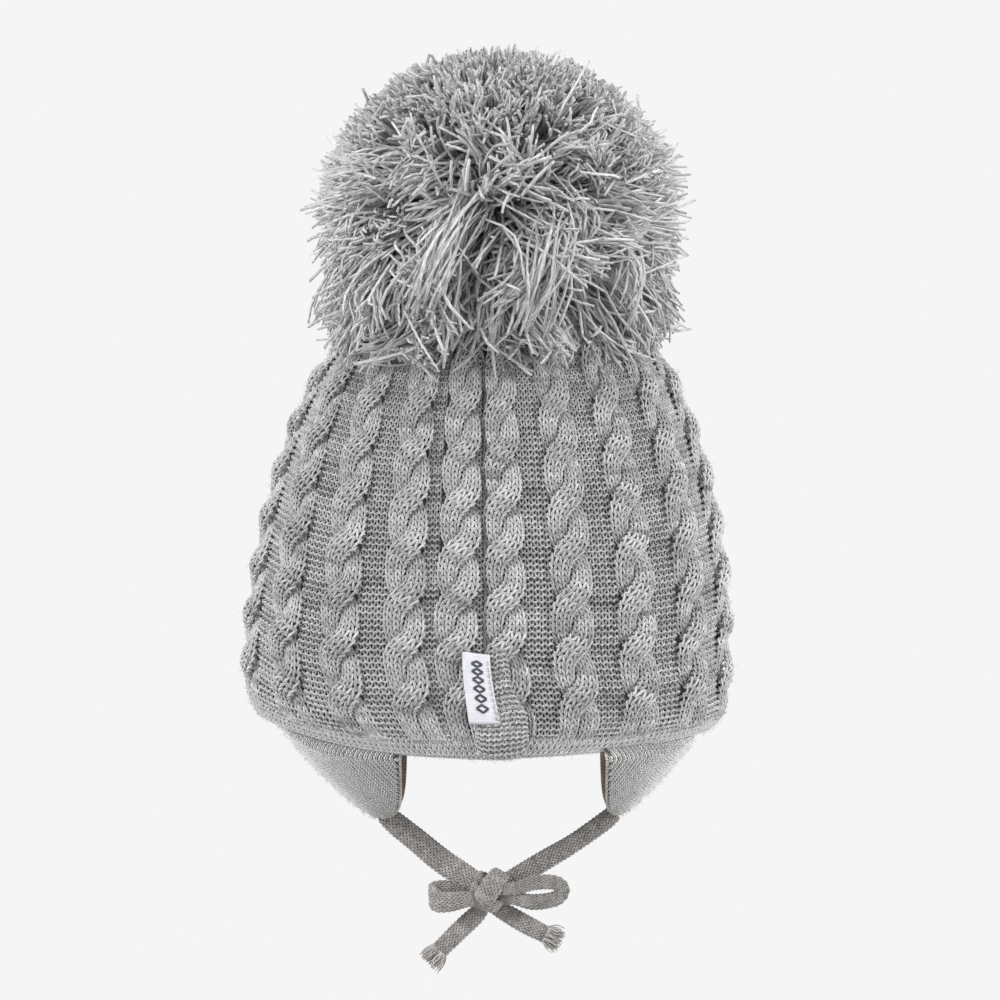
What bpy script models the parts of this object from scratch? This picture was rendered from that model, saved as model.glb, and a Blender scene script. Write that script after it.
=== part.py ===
"""Child's cable-knit winter hat with a pom-pom, lined ear flaps and ties in a bow.

Metres, +Z up. The origin is the centre of the head opening, level with the hem at the back.
The back of the hat faces -Y. Each physical piece is a named object of its own, and the empties
stand on the axes that the moving pieces turn about.
"""

import math

import bmesh
import bpy
from mathutils import Matrix, Vector

# Outer form of the hat
HALF_WIDTH = 0.0974
DEPTH_RATIO = 0.616
WIDEST_Z = 0.045
CROWN_Z = 0.188
HEM_RISE = 0.013
CROWN_LEAN = 0.004
CROWN_HOLE_TURN = math.radians(88.6)

# Layers, from the outside in
SHELL_THICKNESS = 0.0042
HEM_HEIGHT = 0.0087
HEM_THICKNESS = 0.0050
LAYER_GAP = 0.0024
LINING_THICKNESS = 0.0012
LINING_CROWN_DROP = 0.009
CONTACT_GAP = 0.0004

# Pom-pom
POM_RADIUS = 0.0725
POM_CENTRE_Z = 0.2168
POM_HALF_HEIGHT = 0.0645
POM_PIVOT = Vector((CROWN_LEAN, 0.0, 0.184))
WAIST_RADIUS = 0.0095
GROOVE_HALF_HEIGHT = 0.0027
PARTING_HALF_GAP = 0.0006
BINDING_THICKNESS = 0.0020
STEM_RADIUS = 0.0022
LOOP_RADIUS = 0.0034

# Ear flaps: distances are from the middle plane of the hat
FLAP_THICKNESS = 0.0018
FLAP_LINING_THICKNESS = 0.0011
FLAP_HINGE_X = {"left": -0.074, "right": 0.078}
FLAP_HINGE_Z = 0.005
FLAP_EDGE_X = {"left": 0.0334, "right": 0.0454}
FLAP_TOP_HALF_WIDTH = 0.0885
FLAP_TOP_HALF_DEPTH = 0.0500
FLAP_TIP = {"left": Vector((-0.0410, 0.0, -0.0270)), "right": Vector((0.0515, 0.0, -0.0255))}

# Ties and bow
TIE_RADIUS = 0.0030
LOOP_TUBE_RADIUS = 0.0024
KNOT_CENTRE = Vector((0.0014, 0.0, -0.0565))
KNOT_RADII = (0.0078, 0.0056, 0.0080)
TACK_RADIUS = 0.0028

# Label
LABEL_HINGE_FOOT = Vector((0.0064, -0.0618, 0.0097))
LABEL_HINGE_HEAD = Vector((0.0010, -0.0618, 0.0378))
LABEL_FOLD_FOOT = Vector((-0.0066, -0.0618, 0.0094))
LABEL_FOLD_HEAD = Vector((-0.0096, -0.0618, 0.0388))
LABEL_THICKNESS = 0.0011

AROUND = 48
RIM_ROW = 0.02
GREY_WOOL = (0.33, 0.33, 0.335, 1.0)
PALE_WOOL = (0.42, 0.41, 0.41, 1.0)
LINING_COTTON = (0.62, 0.58, 0.54, 1.0)
LABEL_SATIN = (0.80, 0.80, 0.86, 1.0)
THREAD = (0.50, 0.50, 0.51, 1.0)


def clear_scene():
    for thing in list(bpy.data.objects):
        bpy.data.objects.remove(thing, do_unlink=True)


def material(name, colour, roughness):
    made = bpy.data.materials.new(name)
    made.use_nodes = True
    shader = made.node_tree.nodes["Principled BSDF"]
    shader.inputs["Base Color"].default_value = colour
    shader.inputs["Roughness"].default_value = roughness
    shader.inputs["Metallic"].default_value = 0.0
    made.diffuse_color = colour
    return made


def hem_z(angle):
    """Height of the hem's lower edge: lowest at the back and front, higher over the ears."""
    return HEM_RISE * abs(math.cos(angle)) ** 2.5


def dome(turn):
    """Width share and height of the crown's outline, from its widest line (0) to its top (pi / 2)."""
    share = math.cos(turn) ** 0.64
    height = WIDEST_Z + (CROWN_Z - WIDEST_Z) * math.sin(turn) ** 1.25
    return share, height


def outer_point(angle, turn):
    """Outer surface of the hat. A negative turn runs down the skirt from the widest line to the hem."""
    if turn < 0.0:
        top = WIDEST_Z
        height = top + turn * (top - hem_z(angle))
        drop = ((top - height) / top) ** 4.4
        half_width = HALF_WIDTH * (1.0 - 0.36 * drop)
        half_depth = HALF_WIDTH * DEPTH_RATIO * (1.0 - 0.05 * drop)
        return Vector((half_width * math.cos(angle), half_depth * math.sin(angle), height))
    share, height = dome(turn)
    half_width = HALF_WIDTH * share
    roundness = DEPTH_RATIO + (1.0 - DEPTH_RATIO) * math.sin(turn) ** 8
    lean = CROWN_LEAN * math.sin(turn) ** 4
    return Vector(
        (lean + half_width * math.cos(angle), half_width * roundness * math.sin(angle), height)
    )


def under_surface(surface, across, up, depth):
    """Point at a depth under surface(across, up), along that surface's normal."""
    step = 0.002
    along = surface(across + step, up) - surface(across - step, up)
    climb = surface(across, up + step) - surface(across, up - step)
    return surface(across, up) - depth * along.cross(climb).normalized()


def wall_point(angle, turn, depth):
    return under_surface(outer_point, angle, turn, depth)


def skirt_turn(angle, above_hem):
    """The (negative) turn of a point at a height above the hem."""
    return (hem_z(angle) + above_hem - WIDEST_Z) / (WIDEST_Z - hem_z(angle))


def sheet(name, point, columns, rows, closed):
    """Open sheet of quads through point(column, row), its faces to the right of column then row."""
    mesh = bpy.data.meshes.new(name)
    bm = bmesh.new()
    grid = [[bm.verts.new(point(c, r)) for c in columns] for r in rows]
    last = len(columns) if closed else len(columns) - 1
    for lower, upper in zip(grid, grid[1:]):
        for i in range(last):
            j = (i + 1) % len(columns)
            bm.faces.new((lower[i], lower[j], upper[j], upper[i]))
    bm.to_mesh(mesh)
    bm.free()
    return bpy.data.objects.new(name, mesh)


def thicken(thing, thickness, offset=-1.0):
    solid = thing.modifiers.new("thickness", "SOLIDIFY")
    solid.thickness = thickness
    solid.offset = offset
    solid.use_even_offset = True
    return thing


def finish(thing, look, collection, parent=None, smooth_below=40.0):
    """Gives a piece its material and smooth shading, and puts it in the hat's collection."""
    thing.data.materials.clear()
    thing.data.materials.append(look)
    collection.objects.link(thing)
    if thing.type == "MESH":
        thing.data.shade_smooth()
        thing.data.set_sharp_from_angle(angle=math.radians(smooth_below))
    if parent is not None:
        thing.parent = parent
        thing.matrix_parent_inverse = Matrix.Translation(parent.location).inverted()
    return thing


def axis_empty(name, place, collection):
    empty = bpy.data.objects.new(name, None)
    empty.empty_display_size = 0.01
    empty.location = place
    collection.objects.link(empty)
    return empty


def angles(count):
    return [2.0 * math.pi * i / count for i in range(count)]


def steps(low, high, count):
    return [low + (high - low) * i / (count - 1) for i in range(count)]


def layer_rows(start_above_hem, top_turn, skirt_rows, dome_rows):
    """Rows of a layer: the skirt's climb from the hem to the widest line, the dome's by their turn.

    A narrow first row gives the lower rim the surface's own direction there.
    """
    shares = steps(0.0, 1.0, skirt_rows)[:-1]
    shares.insert(1, RIM_ROW)
    skirt = [("skirt", start_above_hem, share) for share in shares]
    crown = [("dome", 0.0, turn) for turn in steps(0.0, top_turn, dome_rows)]
    return skirt + crown


def row_turn(angle, row):
    """The turn that a row has at an angle, as the skirt's rows follow the hem's curve."""
    kind, above_hem, value = row
    if kind == "dome":
        return value
    return skirt_turn(angle, above_hem) * (1.0 - value)


def knit_shell():
    rows = layer_rows(HEM_HEIGHT + CONTACT_GAP, CROWN_HOLE_TURN, 4, 10)
    shell = sheet("knit_shell", lambda a, r: outer_point(a, row_turn(a, r)), angles(AROUND), rows, True)
    return thicken(shell, SHELL_THICKNESS)


def hem_band():
    heights = [0.0, HEM_HEIGHT * 0.5, HEM_HEIGHT * (1.0 - 2.0 * RIM_ROW), HEM_HEIGHT]
    band = sheet(
        "hem_band",
        lambda a, h: wall_point(a, skirt_turn(a, h), 0.0003),
        angles(AROUND),
        heights,
        True,
    )
    return thicken(band, HEM_THICKNESS)


def inner_lining():
    rows = layer_rows(HEM_HEIGHT + 0.0012, CROWN_HOLE_TURN, 4, 9)
    depth = SHELL_THICKNESS + LAYER_GAP

    def point(angle, row):
        turn = row_turn(angle, row)
        drop = LINING_CROWN_DROP * math.sin(max(turn, 0.0)) ** 5
        return wall_point(angle, turn, depth) - Vector((0.0, 0.0, drop))

    lining = sheet("inner_lining", point, angles(AROUND), rows, True)
    return thicken(lining, LINING_THICKNESS)


def seam_allowance():
    """Folded edges of the knit along the centre-back seam, between shell and lining."""
    back = -math.pi / 2.0
    half_angle = 0.045
    rows = steps(-0.55, 1.05, 10)
    strip = sheet(
        "seam_allowance",
        lambda a, turn: wall_point(a, turn, SHELL_THICKNESS + 0.0005),
        steps(back - half_angle, back + half_angle, 3),
        rows,
        False,
    )
    return thicken(strip, 0.0013)


def seam_tab():
    """End of the centre-back seam, folded under and standing a little proud of the hem."""
    left, right, bottom, top = -0.0042, 0.0160, -0.0040, 0.0088
    mesh = bpy.data.meshes.new("seam_tab")
    bm = bmesh.new()
    bmesh.ops.create_cube(bm, size=1.0)
    bmesh.ops.scale(bm, vec=(right - left, 0.0034, top - bottom), verts=bm.verts)
    bm.to_mesh(mesh)
    bm.free()
    tab = bpy.data.objects.new("seam_tab", mesh)
    front = outer_point(-math.pi / 2.0, skirt_turn(-math.pi / 2.0, HEM_HEIGHT / 2.0)).y
    tab.location = ((left + right) / 2.0, front - 0.0024, (bottom + top) / 2.0)
    tab.rotation_euler = (0.0, 0.0, math.radians(2.0))
    rounded = tab.modifiers.new("rounded", "BEVEL")
    rounded.width = 0.0010
    rounded.segments = 2
    return tab


def ring(name, centre, radius, thickness, sides=24, tube=8):
    bpy.ops.mesh.primitive_torus_add(
        location=centre,
        major_radius=radius,
        minor_radius=thickness,
        major_segments=sides,
        minor_segments=tube,
    )
    made = bpy.context.object
    made.name = name
    made.data.name = name
    return made


def ball(name, centre, radii, segments=14, rings=9):
    mesh = bpy.data.meshes.new(name)
    bm = bmesh.new()
    bmesh.ops.create_uvsphere(bm, u_segments=segments, v_segments=rings, radius=1.0)
    bmesh.ops.scale(bm, vec=radii, verts=bm.verts)
    bm.to_mesh(mesh)
    bm.free()
    made = bpy.data.objects.new(name, mesh)
    made.location = centre
    return made


def turned(name, profile, count):
    """Solid of revolution about Z from a closed or axis-to-axis (radius, height) outline."""
    mesh = bpy.data.meshes.new(name)
    bm = bmesh.new()
    points = [bm.verts.new((radius, 0.0, height)) for radius, height in profile]
    for a, b in zip(points, points[1:] + points[:1]):
        bm.edges.new((a, b))
    bm.to_mesh(mesh)
    bm.free()
    made = bpy.data.objects.new(name, mesh)
    screw = made.modifiers.new("turned", "SCREW")
    screw.axis = "Z"
    screw.steps = count
    screw.render_steps = count
    screw.use_merge_vertices = True
    screw.merge_threshold = 0.00005
    screw.use_normal_calculate = True
    return made


def pom_yarn():
    """Cut yarn ball, drawn in to a waist where the binding holds it, nearly flat over the crown."""
    mouth = STEM_RADIUS + 0.0012
    upper = [
        (POM_RADIUS * math.sin(t), POM_CENTRE_Z + POM_HALF_HEIGHT * math.cos(t))
        for t in steps(math.radians(7.0), math.radians(86.0), 9)
    ]
    lower = [
        (POM_RADIUS * math.sin(t), POM_CENTRE_Z + POM_HALF_HEIGHT * math.cos(t))
        for t in steps(math.radians(94.0), math.radians(111.0), 4)
    ]
    top, bottom = POM_CENTRE_Z + GROOVE_HALF_HEIGHT, POM_CENTRE_Z - GROOVE_HALF_HEIGHT
    parting = [
        (POM_RADIUS - 0.004, POM_CENTRE_Z + PARTING_HALF_GAP),
        (0.0220, POM_CENTRE_Z + PARTING_HALF_GAP),
        (0.0160, top),
        (WAIST_RADIUS, top),
        (WAIST_RADIUS, bottom),
        (0.0160, bottom),
        (0.0220, POM_CENTRE_Z - PARTING_HALF_GAP),
        (POM_RADIUS - 0.004, POM_CENTRE_Z - PARTING_HALF_GAP),
    ]
    underside = [(0.0560, 0.1925), (0.0300, 0.1945), (0.0150, 0.1962), (mouth, 0.1966)]
    bore = [(mouth, 0.2075)]
    core_top = [(0.0, 0.2075)]
    crown = [(0.0, POM_CENTRE_Z + POM_HALF_HEIGHT)]
    outline = crown + upper + parting + lower + underside + bore + core_top
    yarn = turned("pom_yarn", outline, 28)
    bm = bmesh.new()
    bm.from_mesh(yarn.data)
    closing = [e for e in bm.edges if all(abs(v.co.x) < 1e-9 for v in e.verts)]
    bmesh.ops.delete(bm, geom=closing, context="EDGES")
    bm.to_mesh(yarn.data)
    bm.free()
    yarn.location = (CROWN_LEAN, 0.0, 0.0)
    return yarn


def tube(name, points, radius):
    """Closed round tube through the points, along a poly spline with filled caps."""
    curve = bpy.data.curves.new(name, "CURVE")
    curve.dimensions = "3D"
    curve.bevel_depth = radius
    curve.bevel_resolution = 2
    curve.use_fill_caps = True
    spline = curve.splines.new("POLY")
    spline.points.add(len(points) - 1)
    for slot, place in zip(spline.points, points):
        slot.co = (*place, 1.0)
    return bpy.data.objects.new(name, curve)


def smooth_route(knots, count):
    """Evenly spaced points along a Catmull-Rom curve through hand-chosen route points."""
    ends = [2.0 * knots[0] - knots[1]] + list(knots) + [2.0 * knots[-1] - knots[-2]]
    fine = []
    for a, b, c, d in zip(ends, ends[1:], ends[2:], ends[3:]):
        for i in range(24):
            t = i / 24.0
            fine.append(
                0.5
                * (
                    2.0 * b
                    + (c - a) * t
                    + (2.0 * a - 5.0 * b + 4.0 * c - d) * t * t
                    + (3.0 * b - a - 3.0 * c + d) * t ** 3
                )
            )
    fine.append(knots[-1].copy())
    travelled = [0.0]
    for a, b in zip(fine, fine[1:]):
        travelled.append(travelled[-1] + (b - a).length)
    route, i = [], 0
    for target in steps(0.0, travelled[-1], count):
        while i < len(fine) - 2 and travelled[i + 1] < target:
            i += 1
        span = travelled[i + 1] - travelled[i]
        route.append(fine[i].lerp(fine[i + 1], (target - travelled[i]) / span))
    return route


def route_mm(*places):
    return [Vector(place) / 1000.0 for place in places]


# Routes of the two ties, from flap tip to knot, round the bow's loops and down the tails, in mm.
LEFT_TIE = route_mm((-37.9, 0.3, -28.8), (-28.4, 1.0, -36.2), (-18.6, 1.4, -44.3), (-8.4, 1.0, -51.0))
RIGHT_TIE = route_mm((9.9, 1.0, -52.6), (22.8, 1.4, -44.9), (35.0, 1.0, -37.6), (47.7, 0.3, -28.6))
LEFT_LOOP = route_mm(
    (-8.2, 2.2, -57.2), (-14.4, 2.6, -56.6), (-19.8, 1.8, -57.0), (-21.4, -1.2, -58.6),
    (-19.2, -4.4, -60.6), (-13.8, -5.0, -60.6), (-8.2, -4.4, -59.8),
)
RIGHT_LOOP = route_mm(
    (11.0, -4.9, -54.6), (18.0, -6.2, -51.8), (26.5, -6.8, -52.2), (31.0, -6.4, -56.4),
    (27.0, -5.6, -61.2), (19.0, -4.4, -61.6), (11.0, -3.4, -60.2),
)
LEFT_TAIL = route_mm((-4.4, 2.4, -66.8), (-11.0, 2.8, -73.0), (-19.4, 2.6, -81.0))
RIGHT_TAIL = route_mm((6.4, 2.4, -65.6), (14.8, 2.8, -70.8), (24.2, 2.6, -75.8))


def fringe(name, tail):
    """Frayed end of a tail, a short cone that widens away from the cord."""
    along = (tail[-1] - tail[-2]).normalized()
    length = 0.0045
    mesh = bpy.data.meshes.new(name)
    bm = bmesh.new()
    bmesh.ops.create_cone(
        bm, cap_ends=True, segments=10, radius1=0.0021, radius2=0.0031, depth=length
    )
    bm.to_mesh(mesh)
    bm.free()
    made = bpy.data.objects.new(name, mesh)
    made.location = tail[-1] + along * (length / 2.0 + CONTACT_GAP)
    made.rotation_euler = along.to_track_quat("Z", "X").to_euler()
    return made


def flap_point(side, across, up):
    """Outer surface of an ear flap. across runs -1..1 between its edges, up 0..1 from tip to hem."""
    sign = -1.0 if side == "left" else 1.0
    edge, tip = FLAP_EDGE_X[side], FLAP_TIP[side]
    turn = math.radians(10.0 + 80.0 * up)
    tip_reach = abs(tip.x) + 0.0010
    half_width = tip_reach + (FLAP_TOP_HALF_WIDTH - tip_reach) * math.sin(turn) ** 1.6
    inner = edge + (tip_reach - 0.0022 - edge) * (1.0 - up) ** 6
    reach = math.acos(min(inner / half_width, 1.0))
    angle = across * reach
    edge_y = FLAP_TOP_HALF_DEPTH * (1.0 - 0.87 * (1.0 - up) ** 1.35)
    top = hem_z(angle) - 0.0046 + 0.0022 * math.cos(angle) ** 2
    bottom = tip.z + 0.0042
    height = bottom + (top - bottom) * (1.0 - math.cos(turn) ** 1.2)
    y = sign * edge_y * math.sin(angle) / math.sin(reach)
    return Vector((sign * half_width * math.cos(angle), y, height))


def flap_layer(side, name, depth, thickness, shrink):
    layer = sheet(
        name,
        lambda a, up: under_surface(lambda c, u: flap_point(side, c, u), a * shrink, up, depth),
        steps(-1.0, 1.0, 15),
        steps(0.03, 0.985, 9),
        False,
    )
    return thicken(layer, thickness)


def flap_seam(side):
    """Strip where the flap's two layers are sewn to the inside of the hem."""
    middle = math.pi if side == "left" else 0.0
    half_angle = math.radians(64.0)
    strip = sheet(
        side + "_flap_seam",
        lambda a, h: wall_point(a, skirt_turn(a, h), HEM_THICKNESS + 0.0009),
        steps(middle - half_angle, middle + half_angle, 19),
        steps(0.0010, 0.0068, 2),
        False,
    )
    return thicken(strip, 0.0014)


def slab(name, corners, thickness):
    """Flat plate behind the given four corners, counted anticlockwise as seen from -Y."""
    mesh = bpy.data.meshes.new(name)
    bm = bmesh.new()
    bm.faces.new([bm.verts.new(corner) for corner in corners])
    bm.to_mesh(mesh)
    bm.free()
    made = thicken(bpy.data.objects.new(name, mesh), thickness)
    rounded = made.modifiers.new("rounded", "BEVEL")
    rounded.width = thickness * 0.25
    rounded.segments = 1
    return made


def woven_label():
    """Folded loop label: its right edge is caught in the seam, its left edge is the fold."""
    corners = (LABEL_FOLD_FOOT, LABEL_HINGE_FOOT, LABEL_HINGE_HEAD, LABEL_FOLD_HEAD)
    return slab("woven_label", corners, LABEL_THICKNESS)


def label_stitching():
    """Row of thread just beside the edge that the label turns about."""
    near, far = Vector((0.0014, 0.0003, 0.0)), Vector((0.0023, 0.0003, 0.0))
    foot = LABEL_HINGE_FOOT + Vector((0.0, 0.0, 0.0010))
    head = LABEL_HINGE_HEAD - Vector((0.0, 0.0, 0.0010))
    return slab("label_stitching", (foot + near, foot + far, head + far, head + near), 0.0006)


def care_label():
    mesh = bpy.data.meshes.new("care_label")
    bm = bmesh.new()
    bmesh.ops.create_cube(bm, size=1.0)
    bmesh.ops.scale(bm, vec=(0.020, 0.0005, 0.032), verts=bm.verts)
    bm.to_mesh(mesh)
    bm.free()
    made = bpy.data.objects.new("care_label", mesh)
    made.location = (-0.019, -0.0475, 0.032)
    made.rotation_euler = (0.0, 0.0, math.radians(-13.0))
    return made


def build_hat(collection, looks):
    wool, pale, cotton, satin, thread = looks
    finish(knit_shell(), wool, collection)
    finish(hem_band(), wool, collection)
    finish(inner_lining(), cotton, collection)
    finish(seam_allowance(), wool, collection)
    finish(seam_tab(), wool, collection)
    for side in ("left", "right"):
        finish(flap_seam(side), thread, collection)
    finish(care_label(), satin, collection)
    finish(label_stitching(), thread, collection)
    finish(
        ball("anchor_knot", POM_PIVOT - Vector((0.0, 0.0, 0.0078)), (0.0042, 0.0042, 0.0034)),
        thread,
        collection,
    )


def build_crown_and_pom(collection, looks):
    wool, pale, cotton, satin, thread = looks
    drawstring = ring("crown_drawstring", (CROWN_LEAN, 0.0, CROWN_Z + 0.0016), 0.0125, 0.0012)
    nod = axis_empty("pom_nod_axis", POM_PIVOT, collection)
    loop = ball("pom_anchor_loop", POM_PIVOT, (LOOP_RADIUS,) * 3)
    binding = ring(
        "pom_binding",
        (CROWN_LEAN, 0.0, POM_CENTRE_Z),
        WAIST_RADIUS + BINDING_THICKNESS + CONTACT_GAP,
        BINDING_THICKNESS,
    )
    low, high = POM_PIVOT.z + LOOP_RADIUS + 0.0006, 0.2069
    stem = tube("pom_tie_ends", [Vector((CROWN_LEAN, 0.0, z)) for z in steps(low, high, 4)], STEM_RADIUS)
    for made in (drawstring, binding):
        for owner in list(made.users_collection):
            owner.objects.unlink(made)
    finish(drawstring, wool, collection)
    finish(loop, thread, collection, nod)
    finish(pom_yarn(), wool, collection, nod)
    finish(binding, thread, collection, nod)
    finish(stem, thread, collection, nod)


def build_flaps(collection, looks):
    wool, pale, cotton, satin, thread = looks
    for side in ("left", "right"):
        hinge = axis_empty(
            side + "_flap_axis", (FLAP_HINGE_X[side], 0.0, FLAP_HINGE_Z), collection
        )
        knit = flap_layer(side, side + "_flap_knit", 0.0, FLAP_THICKNESS, 0.985)
        lining = flap_layer(
            side, side + "_flap_lining", FLAP_THICKNESS + 0.0006, FLAP_LINING_THICKNESS, 1.0
        )
        finish(knit, pale, collection, hinge)
        finish(lining, cotton, collection, hinge)
        tack = ball(side + "_tie_tack", FLAP_TIP[side], (TACK_RADIUS,) * 3, 10, 7)
        finish(tack, thread, collection, hinge)


def build_bow(collection, looks):
    wool, pale, cotton, satin, thread = looks
    knot = axis_empty("bow_axis", KNOT_CENTRE, collection)
    finish(ball("bow_knot", KNOT_CENTRE, KNOT_RADII), pale, collection, knot)
    cords = {
        "left_tie": (LEFT_TIE, 8, TIE_RADIUS),
        "right_tie": (RIGHT_TIE, 8, TIE_RADIUS),
        "bow_loop_left": (LEFT_LOOP, 14, LOOP_TUBE_RADIUS),
        "bow_loop_right": (RIGHT_LOOP, 14, LOOP_TUBE_RADIUS),
        "tie_tail_left": (LEFT_TAIL, 6, LOOP_TUBE_RADIUS),
        "tie_tail_right": (RIGHT_TAIL, 6, LOOP_TUBE_RADIUS),
    }
    for name, (knots, count, radius) in cords.items():
        finish(tube(name, smooth_route(knots, count), radius), pale, collection, knot)
    finish(fringe("tail_fringe_left", LEFT_TAIL), pale, collection, knot)
    finish(fringe("tail_fringe_right", RIGHT_TAIL), pale, collection, knot)


def build_label(collection, looks):
    wool, pale, cotton, satin, thread = looks
    hinge = axis_empty("label_axis", LABEL_HINGE_FOOT, collection)
    finish(woven_label(), satin, collection, hinge)


def main():
    clear_scene()
    collection = bpy.data.collections.new("pom_pom_hat")
    bpy.context.scene.collection.children.link(collection)
    looks = (
        material("grey_wool", GREY_WOOL, 0.95),
        material("pale_wool", PALE_WOOL, 0.95),
        material("lining_cotton", LINING_COTTON, 0.9),
        material("label_satin", LABEL_SATIN, 0.55),
        material("thread", THREAD, 0.8),
    )
    build_hat(collection, looks)
    build_crown_and_pom(collection, looks)
    build_flaps(collection, looks)
    build_bow(collection, looks)
    build_label(collection, looks)
    bpy.context.view_layer.update()


main()
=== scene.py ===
import math

import bpy
import numpy as np
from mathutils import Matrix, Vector


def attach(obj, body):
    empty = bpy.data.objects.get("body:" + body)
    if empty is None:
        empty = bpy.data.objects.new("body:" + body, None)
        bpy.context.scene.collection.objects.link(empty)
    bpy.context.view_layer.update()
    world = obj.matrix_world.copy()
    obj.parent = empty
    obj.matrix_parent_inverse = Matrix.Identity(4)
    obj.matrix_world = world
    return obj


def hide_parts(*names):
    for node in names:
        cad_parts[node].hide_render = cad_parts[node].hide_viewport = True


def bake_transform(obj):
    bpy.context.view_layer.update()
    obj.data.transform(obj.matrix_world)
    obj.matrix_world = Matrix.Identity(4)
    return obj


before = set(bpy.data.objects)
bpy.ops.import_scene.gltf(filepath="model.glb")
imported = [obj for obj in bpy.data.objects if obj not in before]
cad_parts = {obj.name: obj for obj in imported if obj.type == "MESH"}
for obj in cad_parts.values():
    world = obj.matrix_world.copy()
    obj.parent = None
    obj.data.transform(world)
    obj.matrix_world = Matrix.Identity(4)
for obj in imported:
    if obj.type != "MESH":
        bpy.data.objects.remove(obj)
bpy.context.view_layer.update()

# ---------------------------------------------------------------- driving sizes, in metres
MM = 0.001

# Outer form of the hat, as the CAD shell has it
HALF_WIDTH = 0.0974
DEPTH_RATIO = 0.616
WIDEST_Z = 0.045
CROWN_Z = 0.188
HEM_RISE = {"left": 0.0135, "right": 0.0075}
HEM_DROP = 0.0015
CROWN_LEAN = 0.004
HEM_HEIGHT = 0.0087
TOP_TURN = math.radians(86.0)

# Cable knit: repeats of six knit and four purl wales
WALE = 0.002716
SHELL_ROWS = 84
CABLE_WALES = 6
PURL_WALES = 4
CROSSING_ROWS = 8.0
PLAIN_ROWS = 3.0
STRAND_SWING = 0.0044
STRAND_HEIGHT = 0.0025
STRAND_CROWN = 0.0011
CABLE_DEPTH = 0.0019
PURL_DEPTH = 0.0034
YARN_RADIUS = 0.00062
SEAM_ARC = -0.0010

HEM_ROWS = 6
FLAP_WALE = 0.00190
FLAP_ROW = 0.00135

STEPS = 8
SEED = 4127

rng = np.random.default_rng(SEED)


# ---------------------------------------------------------------- small maths
def unit(vectors):
    size = np.linalg.norm(vectors, axis=-1, keepdims=True)
    return vectors / np.maximum(size, 1e-12)


def smooth_step(low, high, value):
    share = np.clip((value - low) / (high - low), 0.0, 1.0)
    return share * share * (3.0 - 2.0 * share)


def lengths_along(points):
    """Distance from the first point of a line to each of its points."""
    return np.concatenate([[0.0], np.cumsum(np.linalg.norm(np.diff(points, axis=0), axis=1))])


def on_sphere(polar, turn):
    polar, turn = np.broadcast_arrays(polar, turn)
    return np.stack([np.sin(polar) * np.cos(turn), np.sin(polar) * np.sin(turn), np.cos(polar)], axis=-1)


def catmull(knots, count):
    """Evenly spaced points along a Catmull-Rom curve, and the same for any values carried along."""
    knots = np.asarray(knots, float)
    ends = np.vstack([2 * knots[:1] - knots[1:2], knots, 2 * knots[-1:] - knots[-2:-1]])
    fine = []
    share = np.linspace(0.0, 1.0, 24, endpoint=False)[:, None]
    for a, b, c, d in zip(ends, ends[1:], ends[2:], ends[3:]):
        cubic = 3 * b - a - 3 * c + d
        square = 2 * a - 5 * b + 4 * c - d
        fine.append(0.5 * (2 * b + (c - a) * share + square * share**2 + cubic * share**3))
    fine = np.vstack(fine + [knots[-1:]])
    travelled = lengths_along(fine[:, :3])
    wanted = np.linspace(0.0, travelled[-1], count)
    return np.stack([np.interp(wanted, travelled, values) for values in fine.T], axis=1)


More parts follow.
